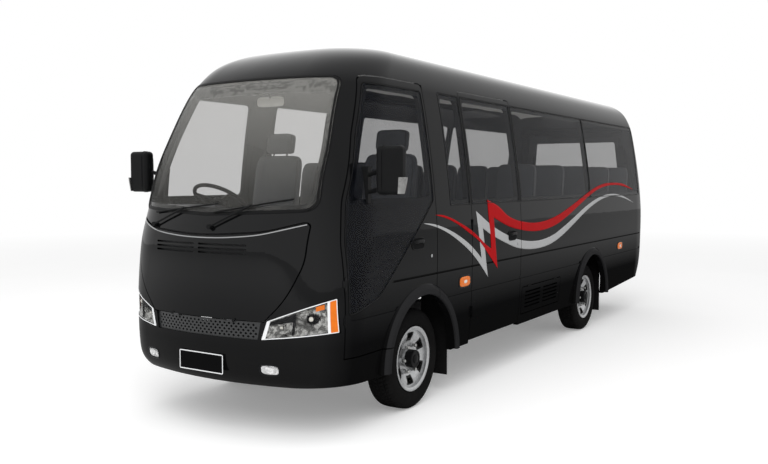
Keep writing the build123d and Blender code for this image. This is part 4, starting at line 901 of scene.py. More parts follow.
@dataclass
class Stripes:
    """Silver and red ribbons along both sides: each runs down, turns up in a point and sweeps back."""

    rows: int = 8
    film: float = 0.0006
    silver: dict[str, list[tuple[float, float]]] = field(default_factory=lambda: {
        "upper": [(-2.361, 1.377), (-2.251, 1.369), (-2.159, 1.355), (-2.010, 1.320), (-1.811, 1.256),
                  (-1.590, 1.160), (-1.469, 1.091), (-1.395, 1.043)],
        "lower": [(-2.361, 1.375), (-2.173, 1.340), (-2.011, 1.294), (-1.812, 1.215), (-1.565, 1.092),
                  (-1.402, 0.983), (-1.264, 0.876)],
        "rise": [(-1.395, 1.043), (-1.430, 1.170), (-1.462, 1.310), (-1.487, 1.438)],
        "notch": [(-1.264, 0.876), (-1.300, 0.995), (-1.329, 1.106), (-1.371, 1.291)],
        "crest": [(-1.487, 1.438), (-1.396, 1.396), (-1.267, 1.337), (-1.150, 1.291), (-0.919, 1.220),
                  (-0.690, 1.164), (-0.572, 1.145), (-0.337, 1.120), (-0.080, 1.115), (0.245, 1.146),
                  (0.562, 1.217), (0.938, 1.318), (1.280, 1.406), (1.649, 1.477), (2.036, 1.517),
                  (2.359, 1.518), (2.692, 1.484), (3.103, 1.400)],
        "foot": [(-1.371, 1.291), (-1.230, 1.237), (-1.117, 1.201), (-0.880, 1.134), (-0.688, 1.087),
                 (-0.550, 1.065), (-0.334, 1.045), (-0.078, 1.042), (0.192, 1.063), (0.535, 1.135),
                 (0.839, 1.225), (1.204, 1.336), (1.564, 1.422), (1.912, 1.478), (2.354, 1.494),
                 (2.645, 1.470), (3.103, 1.398)]})
    red: dict[str, list[tuple[float, float]]] = field(default_factory=lambda: {
        "upper": [(-2.178, 1.432), (-2.083, 1.428), (-1.932, 1.399), (-1.776, 1.352), (-1.596, 1.289),
                  (-1.447, 1.221), (-1.322, 1.156), (-1.211, 1.112)],
        "lower": [(-2.178, 1.430), (-2.003, 1.398), (-1.864, 1.359), (-1.643, 1.274), (-1.405, 1.168),
                  (-1.270, 1.073), (-1.074, 0.931)],
        "rise": [(-1.211, 1.112), (-1.229, 1.244), (-1.252, 1.369), (-1.259, 1.524)],
        "notch": [(-1.074, 0.931), (-1.102, 1.050), (-1.125, 1.165), (-1.153, 1.372)],
        "crest": [(-1.259, 1.524), (-1.043, 1.464), (-0.873, 1.384), (-0.687, 1.334), (-0.490, 1.306),
                  (-0.287, 1.289), (0.052, 1.296), (0.390, 1.338), (0.791, 1.420), (1.199, 1.514),
                  (1.566, 1.593), (1.912, 1.640), (2.271, 1.653), (2.688, 1.639), (3.119, 1.566)],
        "foot": [(-1.153, 1.372), (-0.970, 1.316), (-0.787, 1.270), (-0.593, 1.241), (-0.289, 1.210),
                 (-0.004, 1.210), (0.328, 1.244), (0.625, 1.309), (0.979, 1.404), (1.333, 1.500),
                 (1.670, 1.575), (2.061, 1.618), (2.469, 1.624), (3.119, 1.564)]})

    def ribbon(self, edges: dict[str, list[tuple[float, float]]]) -> np.ndarray:
        """Grid of a ribbon: each row lies a share of the way from its upper edge to its lower one.

        Args:
            edges: stretches of its two edges, by name.
        Returns:
            Grid of places (y, z).
        """
        upper, lower = (np.concatenate([flowing(edges[first], 60), flowing(edges[second], 18)[1:],
                                        flowing(edges[third], 190)[1:]])
                        for first, second, third in (("upper", "rise", "crest"), ("lower", "notch", "foot")))
        share = np.linspace(0, 1, self.rows)[None, :, None]
        return upper[:, None, :] * (1 - share) + lower[:, None, :] * share

    def lay(self, name: str, grid: np.ndarray, finish: Finish, side: Side, lift: float) -> None:
        """Lays a ribbon on each panel that it crosses.

        Args:
            name: name of the ribbon.
            grid: its (y, z) places.
            finish: its finish.
            side: side of the vehicle.
            lift: how far it stands off the paint.
        """
        body = side.word
        spans = [(f"door_{body}", -9.0, -2.1655), ("body", -2.1565, 9.0)]
        if side is Side.LEFT:
            spans = [("door_left", -9.0, -2.1655), ("body", -2.1565, -1.5705),
                     ("door_entry", -1.5615, -0.5645), ("body", -0.5555, 9.0)]
        points = side.turned(SKIN.on(grid, lift))
        for number, (rider, start, end) in enumerate(spans):
            if grid[..., 0].min() > end:
                continue
            obj = piece(f"{name}_{body}_{number}", points, sheet_faces(points), rider, finish,
                        closed=False, facing=(float(side.value), 0, 0))
            work = bmesh.new()
            work.from_mesh(obj.data)
            for place, way in ((start, -1), (end, 1)):
                bmesh.ops.bisect_plane(work, geom=work.verts[:] + work.edges[:] + work.faces[:],
                                       plane_co=(0, place, 0), plane_no=(0, way, 0), clear_outer=True)
            work.to_mesh(obj.data)
            work.free()
            thick = obj.modifiers.new("film", "SOLIDIFY")
            thick.thickness = self.film
            thick.offset = -1.0

    def build(self) -> None:
        """Lays both ribbons on both sides."""
        for side in Side:
            self.lay("stripe_silver", self.ribbon(self.silver), SILVER_FILM, side, 0.0012)
            self.lay("stripe_red", self.ribbon(self.red), RED_FILM, side, 0.0022)


@dataclass
class Seals:
    """Rubber round each pane, and a bright bead over the hatch that is a painted highlight of its top edge.
    """

    height: float = 0.005
    long_panes: tuple[tuple[float, float], ...] = ((-0.544, 1.415), (1.425, 3.372))
    sill: float = 1.495
    brow: float = 2.362
    inset: float = 0.004

    def ring(self, name: str, path: np.ndarray, out: Sequence[float], width: float, body: str = "body",
             finish: Finish = RUBBER, closed: bool = True) -> None:
        """A bead of oval section along a path."""
        bead(name, path, out, oval(width, self.height, 10), body, finish, closed=closed)

    def windscreen(self) -> None:
        """Seal and bead of the windscreen, carried on over the roof where they pass its brow."""
        flat = rounded([(-0.764, 1.500), (0.0, 1.468), (0.764, 1.500), (0.750, 1.880), (0.672, 2.392),
                        (-0.672, 2.392), (-0.750, 1.880)], [0.085, 1.2, 0.085, 0.6, 0.085, 0.085, 0.6])
        middle = np.array([0.0, 1.93])
        for name, scale, finish, width in (("windscreen_seal", 0.992, RUBBER, 0.020),
                                           ("windscreen_bead", 1.012, SATIN, 0.009)):
            loop = (flat - middle) * scale + middle
            path = from_end(loop, ["windscreen", "cab_front"], 1, 0.002)
            path = np.where(path[:, 1:2] < -MET_Y, from_end(loop, ["roof"], 1, 0.002), path)
            self.ring(name, path[path[:, 1] > -MET_Y], (0, -0.86, 0.5), width, finish=finish)

    def sides(self) -> None:
        """Seals of the side panes and the entry pane."""
        for side in Side:
            first = (-1.930, -1.582) if side is Side.LEFT else (-1.930, -0.554)
            for number, (start, end) in enumerate([first, *self.long_panes]):
                self.band(f"pane_seal_{side.word}_{number}", start, end, side, "body")
            self.door(side)
        self.band("entry_pane_seal", -1.550, -0.576, Side.LEFT, "door_entry")

    def band(self, name: str, start: float, end: float, side: Side, body: str) -> None:
        """Seal of one pane of the side band.

        Args:
            name: its name.
            start: front edge of the pane.
            end: rear edge of the pane.
            side: side of the vehicle.
            body: the body that it rides on.
        """
        front, back = start + self.inset, end - self.inset
        low, high = self.sill + self.inset, self.brow - self.inset
        flat = rounded([(front, low), (front, high), (back, high), (back, low)], [0.016] * 4)
        self.ring(name, side.turned(SKIN.on(flat, 0.0005)), (side.value, 0, 0), 0.009, body)

    def door(self, side: Side) -> None:
        """Seal of a front door's pane, whose foot sweeps down to the front.

        Args:
            side: side of the vehicle.
        """
        flat = rounded([(-3.288, 0.822), (-3.288, 1.290), (-3.239, 1.556), (-3.078, 1.984), (-2.897, 2.352),
                        (-2.189, 2.352), (-2.189, 1.538), (-2.959, 0.908)],
                       [0.018, 0.45, 0.6, 0.8, 0.05, 0.03, 0.025, 0.25])
        middle = flat.mean(axis=0)
        flat = (flat - middle) * 0.996 + middle
        start = np.concatenate([np.full((len(flat), 1), START_X), flat], axis=1)
        path = pressed(start, ["door_glass_left", "front_door_left"], "x", -1, 0.001)
        self.ring(f"door_pane_seal_{side.word}", side.turned(path[path[:, 0] < MET_X]), (side.value, 0, 0),
                  0.008, f"door_{side.word}")

    def hatch(self) -> None:
        """Bright bead along the top of the hatch: a painted highlight of its edge, made as a metal bead."""
        flat = flowing([(-0.728, 1.412), (-0.600, 1.378), (-0.480, 1.350), (-0.250, 1.325), (0.0, 1.317),
                        (0.250, 1.325), (0.480, 1.350), (0.600, 1.378), (0.728, 1.412)], 90)
        path = from_end(flat, ["front_hatch"], 1, 0.0015)
        self.ring("hatch_bead", path[path[:, 1] > -MET_Y], (0, -1, 0.2), 0.008, "hatch", BRIGHT, False)

    def rear(self) -> None:
        """Seal of the rear window."""
        flat = rounded([(-0.652, 1.508), (0.652, 1.508), (0.583, 2.222), (-0.583, 2.222)], [0.07] * 4)
        path = from_end(flat, ["saloon_glass", "rear_wall"], -1, 0.001)
        self.ring("rear_window_seal", path, (0, 1, 0.05), 0.016)

    def build(self) -> None:
        """Makes every seal and bead."""
        self.windscreen()
        self.sides()
        self.hatch()
        self.rear()


# --- Lamps ------------------------------------------------------------------------------------
@dataclass(frozen=True)
class Insert:
    """A flat insert over part of a headlamp; its two ranges are (start, end, count) of the lamp's u and v."""

    name: str
    across: tuple[float, float, int]
    up: tuple[float, float, int]
    finish: Finish | Glass
    lift: float
    thick: float


@dataclass(frozen=True)
class Bowl:
    """A round bowl of the headlamp: its middle, its radius and the size of its bulb hood."""

    x: float
    z: float
    radius: float
    hood: float


@dataclass
class Headlamps:
    """Lamps at the nose corners: white surround, ribbed reflector, two bowls, clear lens, amber strip."""

    foot: tuple[float, float, float, float] = (0.474, 0.677, 0.901, 0.724)
    head: tuple[float, float, float, float] = (0.514, 0.797, 0.893, 0.945)
    floor: tuple[float, float, float, float] = (0.035, 0.925, 0.05, 0.95)
    bowls: tuple[Bowl, ...] = (Bowl(0.775, 0.815, 0.078, 1.0), Bowl(0.602, 0.757, 0.060, 0.7))
    divider: Insert = Insert("lamp_divider", (0.455, 0.485, 6), (0.06, 0.94, 20), LAMP_BLACK, -0.008, 0.014)
    inserts: tuple[Insert, ...] = (
        Insert("lamp_inner_edge", (0.012, 0.060, 6), (0.03, 0.97, 20), WHITE, 0.001, 0.004),
        Insert("lamp_outer_edge", (0.900, 0.926, 6), (0.03, 0.97, 20), WHITE, 0.001, 0.004),
        Insert("lamp_amber", (0.928, 0.992, 8), (0.02, 0.98, 24), AMBER, 0.0015, 0.006),
        Insert("lamp_amber_inner", (0.76, 0.86, 10), (0.78, 0.93, 6), AMBER, -0.006, 0.002),
        Insert("lamp_cover", (0.055, 0.905, 40), (0.03, 0.97, 24), LENS, 0.0, 0.0025))
    fog_middle: tuple[float, float] = (0.525, 0.484)
    fog_half: tuple[float, float] = (0.062, 0.032)
    fog_rim_half: tuple[float, float] = (0.067, 0.036)
    fog_nodes: tuple[str, str] = ("front_lamps", "front_bumper")

    def flat(self, u: np.ndarray, v: np.ndarray) -> np.ndarray:
        """Place (x, z) in the lamp: a straight mix between its foot and head lines by v, along them by u.

        Args:
            u: share of the way outwards.
            v: share of the way up.
        Returns:
            The places.
        """
        x0, z0, x1, z1 = self.foot
        x2, z2, x3, z3 = self.head
        foot = np.stack([x0 + (x1 - x0) * u, z0 + (z1 - z0) * u], axis=-1)
        head = np.stack([x2 + (x3 - x2) * u, z2 + (z3 - z2) * u], axis=-1)
        return foot * (1 - v[..., None]) + head * v[..., None]

    def skin(self, u: np.ndarray, v: np.ndarray, lift: float) -> np.ndarray:
        """The same place on the lamp's outer face."""
        return from_end(self.flat(u, v), ["front_lamps", "cab_front"], 1, lift)

    def reflector(self, side: Side) -> None:
        """Ribbed floor of the lamp with two round bowls sunk into it.

        Depth behind the lens = 5 mm at the rim growing to 16 mm, plus for each bowl a paraboloid of 20 mm,
        plus a sine wave of ribs across.

        Args:
            side: side of the vehicle.
        """
        u0, u1, v0, v1 = self.floor
        u, v = grid((u0, u1, 96), (v0, v1, 56))
        skin = self.skin(u, v, 0.0)
        rim = np.minimum.reduce([u - u0, u1 - u, (v - v0) * 0.4, (v1 - v) * 0.4]) / 0.06
        inner = np.clip(rim, 0, 1)
        depth = 0.005 + 0.011 * inner
        x, z = skin[..., 0], skin[..., 2]
        for bowl in self.bowls:
            far = ((x - bowl.x) ** 2 + (z - bowl.z) ** 2) / bowl.radius ** 2
            depth = depth + 0.020 * np.clip(1 - far, 0, 1)
        depth = depth + 0.0012 * np.sin(x * 2 * math.pi / 0.011) * inner
        points = skin + np.stack([-0.25 * depth, depth, np.zeros_like(depth)], axis=-1)
        # its finish carries painted reflections in small patches
        shell(f"reflector_{side.word}", side.turned(points), "body", REFLECTOR_PAINTED_GLINTS, (0, -1, 0))

    def bulbs(self, side: Side) -> None:
        """Hood over the bulb of each bowl: a dome turned round the lamp's axis.

        Args:
            side: side of the vehicle.
        """
        parts = []
        share = np.linspace(0, math.pi / 2, 9)
        for bowl in self.bowls:
            centre = from_end(np.array([[bowl.x, bowl.z]]), ["front_lamps"], 1)[0]
            dome = np.stack([-0.018 * bowl.hood * np.sin(share), 0.016 * bowl.hood * np.cos(share)], axis=-1)
            place = spun(dome, (0, 0, 0), 24)[..., [1, 0, 2]] + centre + np.array([-0.01, 0.030, 0.0])
            parts.append((side.turned(place), quads(9, 24, True)))
        points, faces = joined(parts)
        piece(f"bulb_{side.word}", points, faces, "body", PALE_LENS, False, (0, -1, 0))

    def plate(self, insert: Insert, side: Side) -> None:
        """One insert, which follows the lamp's face.

        Args:
            insert: its place, size and finish.
            side: side of the vehicle.
        """
        u, v = grid(insert.across, insert.up)
        sheet = side.turned(self.skin(u, v, insert.lift))
        panel(f"{insert.name}_{side.word}", sheet, (0, insert.thick, 0), insert.finish)

    def shade(self, side: Side) -> None:
        """Dark shade over the inner upper corner; its lower edge falls as it nears the middle of the lamp.

        Args:
            side: side of the vehicle.
        """
        end, foot, low, high = 0.46, 0.62, 0.60, 0.94
        u, v = grid((0.05, end, 20), (foot, 0.93, 10))
        edge = low + 0.25 * (end - u)
        v = edge + (v - foot) / 0.31 * (high - edge)
        sheet = side.turned(self.skin(u, v, -0.009))
        panel(f"lamp_shade_{side.word}", sheet, (0, 0.003, 0), LAMP_BLACK)

    def surround(self, side: Side) -> None:
        """White border round the lamp: a flat bead along its outline, just inside it.

        Args:
            side: side of the vehicle.
        """
        share = np.linspace(0, 4, 240, endpoint=False)
        u = np.interp(share, range(5), [0.0, 1.0, 1.0, 0.0, 0.0])
        v = np.interp(share, range(5), [0.0, 0.0, 1.0, 1.0, 0.0])
        path = self.skin(0.5 + (u - 0.5) * 0.985, 0.5 + (v - 0.5) * 0.955, 0.0005)
        bead(f"lamp_surround_{side.word}", side.turned(path), (0.5 * side.value, -0.86, 0),
             oval(0.0065, 0.006, 10), "body", WHITE, "lamp_lens")

    def fog(self, side: Side) -> None:
        """Fog lamp: dark rim, bright bowl and fluted cover in the bumper.

        Depth of the bowl = 4 mm at its rim, plus 22 mm times one minus the square of the share of its radius.

        Args:
            side: side of the vehicle.
        """
        edge = squared_circle(64, 0.6)
        share = np.linspace(0.0, 1.0, 16)[:, None]
        skin = from_end(np.array(self.fog_middle) + edge[None] * np.array(self.fog_half) * share[..., None],
                        self.fog_nodes, 1)
        bowl = skin.copy()
        bowl[..., 1] += 0.004 + 0.022 * (1 - share ** 2)
        cover = skin + np.array([0, 0.001, 0])
        for name, points, finish in (("bowl", bowl, FOG_BOWL), ("cover", cover, FLUTED)):
            shell(f"fog_{name}_{side.word}", side.turned(points), "body", finish, (0, -1, 0),
                  True)
        path = from_end(np.array(self.fog_middle) + edge * np.array(self.fog_rim_half), self.fog_nodes, 1)
        bead(f"fog_rim_{side.word}", side.turned(path), (0.3 * side.value, -0.95, 0),
             oval(0.014, 0.007, 10), "body", LAMP_BLACK, "lamp_lens")

    def build(self) -> None:
        """Builds both headlamps, both fog lamps and the pans behind them."""
        for side in Side:
            self.reflector(side)
            self.bulbs(side)
            self.shade(side)
            self.plate(self.divider, side)
            self.surround(side)
            for insert in self.inserts:
                self.plate(insert, side)
            self.fog(side)
        backing = self.backing()
        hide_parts("front_lamps")

    def backing(self) -> bpy.types.Object:
        """Dark pans behind all four lamps, as one piece.

        Returns:
            The pans.
        """
        parts = []
        for side in Side:
            lamp = self.skin(*grid((0.0, 1.0, 24), (0.0, 1.0, 12)), -0.0375)
            parts.append(slab(side.turned(lamp), (0, 0.002, 0)))
            fog = np.stack(grid((0.458, 0.592, 12), (0.446, 0.522, 8)), axis=-1)
            parts.append(slab(side.turned(from_end(fog, self.fog_nodes, 1, -0.030)), (0, 0.003, 0)))
        points, faces = joined(parts)
        return piece("lamp_pans", points, faces, "body", DEEP)


@dataclass
class Markers:
    """Side markers and tail lamps."""

    places: tuple[float, float] = (-1.700, 2.523)
    level: float = 0.884
    rings: tuple[tuple[str, Finish, float, float, float], ...] = (
        ("rim", TRIM, 0.108, 0.053, 0.006), ("lens", AMBER, 0.094, 0.042, 0.0105),
        ("centre", PALE_LENS, 0.034, 0.016, 0.0118))
    fields: tuple[tuple[str, Finish, float, float], ...] = (
        ("stop", RED_LENS, 1.215, 1.345), ("turn", AMBER, 1.090, 1.207), ("reverse", PALE_LENS, 0.955, 1.082))

    def marker(self, number: int, y: float, side: Side) -> None:
        """Dark rim, amber dome and pale centre: ovals (name, finish, half sizes, height) that stand out.

        Height over the skin = the ring's height times the root of one minus the sixth power of the share of
        its size.

        Args:
            number: which of the places.
            y: its middle.
            side: side of the vehicle.
        """
        edge = squared_circle(56, 0.55)
        size = np.sin(np.linspace(0, 1, 12)[:, None] * math.pi / 2) ** 0.7
        for word, finish, width, height, stand in self.rings:
            flat = np.array([y, self.level]) + edge[None] * np.array([width, height]) * size[..., None]
            points = SKIN.on(flat)
            points[..., 0] += stand * (1 - size ** 6) ** 0.5 + 0.0002
            shell(f"marker_{word}_{side.word}_{number}", side.turned(points), "body", finish,
                  (side.value, 0, 0), True)

    def tail(self, side: Side) -> bpy.types.Object:
        """Tail lamp of three crowned fields (name, finish, foot, head) in a dark frame.

        Args:
            side: side of the vehicle.
        Returns:
            The last field.
        """
        made = None
        for word, finish, low, high in self.fields:
            x, z = grid((0.757, 0.872, 18), (low, high, 18))
            sheet = from_end(np.stack([x, z], axis=-1), ["signal_lamps"], -1)
            sheet[..., 1] += 0.004 * (1 - ((x - 0.8145) / 0.058) ** 6) ** 0.5 + 0.001
            made = panel(f"tail_{word}_{side.word}", side.turned(sheet), (0, -0.012, 0), finish)
        loop = rounded([(0.752, 0.944), (0.878, 0.944), (0.878, 1.356), (0.752, 1.356)], [0.028] * 4)
        path = from_end(loop, ["signal_lamps", "rear_wall"], -1, 0.002)
        bead(f"tail_frame_{side.word}", side.turned(path), (0.4 * side.value, 0.9, 0), oval(0.012, 0.009, 10),
             "body", TRIM)
        return made

    def build(self) -> None:
        """Builds the markers and tail lamps of both sides."""
        last = None
        for side in Side:
            for number, y in enumerate(self.places):
                self.marker(number, y, side)
            last = self.tail(side)
        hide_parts("signal_lamps")


# --- Wheels -----------------------------------------------------------------------------------
@dataclass
class Tyre:
    """Radial tyre: ribbed tread with cross slots, shoulder blocks and ringed sidewalls."""

    width: float = 0.214
    bead: float = 0.222
    steps: int = 420
    slots: int = 70
    groove: float = 0.009
    lanes: tuple[float, float, float] = (-0.048, 0.0, 0.048)
    ring_pitch: float = 0.0155

    def cuts(self, across: np.ndarray, turn: np.ndarray) -> np.ndarray:
        """Share of the full groove depth at each place of the tread.

        The most of: 1 in the lanes that run round; 0.8 in slots spaced evenly round, shifted with the place
        across; 0.9 in notches over the shoulders.

        Args:
            across: places across the tread.
            turn: angles round the wheel.
        Returns:
            Grid of shares.
        """
        lanes = np.zeros((len(across), len(turn)))
        for lane in self.lanes:
            lanes = np.maximum(lanes, np.clip(1.6 - np.abs(across - lane) / 0.0035, 0, 1))
        phase = turn * self.slots + np.abs(across) * 90 + np.sign(across) * 0.8
        slots = np.clip((np.cos(phase) - 0.74) * 8, 0, 1) * (np.abs(across) > 0.006)
        shoulder = np.clip((np.cos(turn * self.slots + 0.8) - 0.5) * 6, 0, 1) * (np.abs(across) > 0.082)
        return np.maximum(np.maximum(lanes, slots * 0.8), shoulder * 0.9)

    def points(self, centre: Sequence[float]) -> np.ndarray:
        """Grid of the tyre's surface.

        Radius = profile radius - groove depth times the share cut, faded out down the shoulder. The
        sidewalls stand out in rings where a cosine of the radius peaks.

        Args:
            centre: middle of the wheel.
        Returns:
            The points, from the outer face round to the inside and back.
        """
        half = self.width / 2
        half_profile = flowing([(-half + 0.022, self.bead), (-half + 0.020, 0.243), (-half + 0.006, 0.262),
                                (-half, 0.295), (-half + 0.003, 0.324), (-half + 0.012, 0.347),
                                (-half + 0.026, TYRE_R - 0.006), (-half + 0.045, TYRE_R - 0.0015),
                                (-0.04, TYRE_R), (0.0, TYRE_R)], 46)
        profile = np.concatenate([half_profile, half_profile[-2::-1] * np.array([-1.0, 1.0])])
        inner = np.array([(half - 0.03, self.bead + 0.006), (half - 0.02, 0.28), (half - 0.03, 0.34),
                          (0.0, 0.352), (-half + 0.03, 0.34), (-half + 0.02, 0.28),
                          (-half + 0.03, self.bead + 0.006)])
        turn = np.arange(self.steps) * 2 * math.pi / self.steps
        across, level = profile[:, None, 0], profile[:, None, 1]
        crown = np.clip((level - (TYRE_R - 0.022)) / 0.014, 0, 1)
        radius = level - self.groove * self.cuts(across, turn) * crown
        wall = (level < TYRE_R - 0.03) * (level > 0.25)
        rings = 0.0011 * np.clip(np.cos((level - 0.262) * 2 * math.pi / self.ring_pitch), 0, 1) ** 3
        across = np.broadcast_to(across + np.sign(across) * rings * wall, radius.shape)
        outer = np.stack([across, radius * np.cos(turn), radius * np.sin(turn)], axis=-1) + np.asarray(centre)
        return np.concatenate([outer, spun(inner, centre, self.steps), outer[:1]])

    def build(self) -> None:
        """Makes the four tyres."""
        for end, y in AXLES:
            for side in Side:
                points = self.points((side.value * WHEEL_X, y, TYRE_R))
                name = f"{end}_{side.word}"
                made = piece(f"tread_{name}", points, sheet_faces(points, True), f"wheel_{name}", TYRE,
                             angle=38)
                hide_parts(f"tyre_{name}")


@dataclass
class WheelFace:
    """Nuts and hub cap on each rim."""

    nuts: int = 6
    nut_ring: float = 0.104
    nut_r: float = 0.0135
    cap: tuple[tuple[float, float], ...] = (
        (-0.0615, 0.0665), (-0.012, 0.0665), (-0.004, 0.064), (-0.002, 0.056), (-0.006, 0.052),
        (-0.006, 0.034), (0.001, 0.030), (0.005, 0.020), (0.006, 0.0005))

    def build(self) -> None:
        """Dresses the four rims."""
        for end, y in AXLES:
            for side in Side:
                self.dress(f"{end}_{side.word}", y, side)

    def dress(self, name: str, y: float, side: Side) -> None:
        """Nuts as six-sided domes, and the cap as a stepped dome over the hub.

        Args:
            name: which wheel.
            y: its axle.
            side: side of the vehicle.
        """
        low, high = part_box(f"rim_{name}")
        face = max(abs(low.x), abs(high.x)) - 0.052
        share = np.linspace(0, 1, 8)
        nut = np.stack([face + 0.016 + 0.020 * share ** 0.8, self.nut_r * (1 - share ** 5) ** 0.5 + 1e-4],
                       axis=-1)
        parts = []
        for turn in np.arange(self.nuts) * math.pi / 3:
            place = (0, y + self.nut_ring * math.cos(turn), TYRE_R + self.nut_ring * math.sin(turn))
            parts.append((side.turned(spun(nut, place, 6)), quads(8, 6, True)))
        points, faces = joined(parts)
        out = (side.value, 0, 0)
        piece(f"nuts_{name}", points, faces, f"wheel_{name}", NUT, False, out, 30)
        cap = spun(np.array(self.cap) + np.array([face + 0.0625, 0.0]), (0, y, TYRE_R), 64)
        shell(f"hub_cap_{name}", side.turned(cap), f"wheel_{name}", HUB, out, True, 30)


# --- Outside fittings -------------------------------------------------------------------------
@dataclass
class DoorFurniture:
    """Pull handles in dark dishes, with lock cylinders; each door has (name, y, z, body, side, lock)."""

    rim: tuple[float, float] = (0.084, 0.042)
    dish: tuple[float, float] = (0.080, 0.038)
    reach: float = 0.070
    lock_r: float = 0.0125
    doors: tuple[tuple[str, float, float, str, Side, tuple[float, float]], ...] = (
        ("handle_left", -2.455, 1.236, "door_left", Side.LEFT, (-2.253, 1.132)),
        ("handle_right", -2.455, 1.236, "door_right", Side.RIGHT, (-2.253, 1.132)),
        ("handle_entry", -0.765, 1.198, "door_entry", Side.LEFT, (-0.640, 1.115)))

    def handle(self, name: str, y: float, z: float, body: str, side: Side, lock: tuple[float, float]) -> None:
        """One handle: dish rim, dark dish, curved grip and lock cylinder.

        Args:
            name: its name.
            y: middle of the handle.
            z: middle of the handle.
            body: door that it rides on.
            side: side of the vehicle.
            lock: place (y, z) of the lock.
        """
        out = (side.value, 0, 0)
        middle = np.array([y, z])
        edge = squared_circle(48, 0.5)
        bead(f"{name}_rim", side.turned(SKIN.on(middle + edge * np.array(self.rim), 0.002)), out,
             oval(0.008, 0.008, 8), body, TRIM)
        size = np.linspace(0, 1, 10)[:, None, None]
        dish = side.turned(SKIN.on(middle + edge[None] * np.array(self.dish) * size, 0.0040))
        shell(f"{name}_dish", dish, body, DEEP, out, True)
        along = np.linspace(-1, 1, 40)
        bow = SKIN.on(np.stack([y + self.reach * along, z + 0.018 - 0.006 * along ** 2], axis=-1))
        bow[:, 0] += 0.004 + 0.020 * (1 - along ** 4) ** 0.5
        bead(f"{name}_grip", side.turned(bow), out, oval(0.024, 0.009, 14, 0.7), body, SATIN, closed=False)
        turn = np.linspace(0, 1, 8) * math.pi / 2
        radius = np.concatenate([[self.lock_r, self.lock_r], self.lock_r * np.cos(turn) + 1e-4])
        stand = np.concatenate([[0.0, 0.004], 0.004 + 0.003 * np.sin(turn)])
        base = float(SKIN.at(np.array([lock[1]]))[0])
        face = side.turned(spun(np.stack([base + stand, radius], axis=-1), (0, *lock), 28))
        shell(f"{name}_lock", face, body, BRIGHT, out, True)

    def build(self) -> None:
        """Makes the handles of the three doors."""
        for door in self.doors:
            self.handle(*door)


@dataclass
class Plates:
    """Blank plates with a pale border, front and rear."""

    width: float = 0.391
    height: float = 0.130
    border: float = 0.007
    places: tuple[tuple[str, float, int], ...] = (("front", 0.494, -1), ("rear", 0.545, 1))

    def plate(self, name: str, z: float, face: float, way: int) -> None:
        """One flat plate with a raised border.

        Args:
            name: front or rear.
            z: its middle.
            face: place of its outer face along Y.
            way: way that it faces along Y.
        """
        x, level = grid((-self.width / 2, self.width / 2, 24), (z - self.height / 2, z + self.height / 2, 8))
        sheet = np.stack([x, np.full(x.shape, face), level], axis=-1)
        panel(f"{name}_plate", sheet, (0, -0.008 * way, 0), PLATE)
        w, h = self.width / 2 - 0.004, self.height / 2 - 0.004
        loop = rounded([(-w, z - h), (w, z - h), (w, z + h), (-w, z + h)], [0.006] * 4, 0.004)
        path = np.stack([loop[:, 0], np.full(len(loop), face + 0.0006 * way), loop[:, 1]], axis=-1)
        bead(f"{name}_plate_border", path, (0, way, 0), oval(self.border, 0.0028, 8), "body", WHITE)

    def build(self) -> None:
        """Sets both plates just clear of the furthest point of the bumpers behind them."""
        for name, z, way in self.places:
            behind = np.stack(grid((-0.19, 0.19, 5), (z - 0.06, z + 0.06, 5)), axis=-1)
            met = from_end(behind, [f"{name}_bumper"], -way)[..., 1] * way
            self.plate(name, z, way * (float(met[met < MET_Y].max()) + 0.007), way)


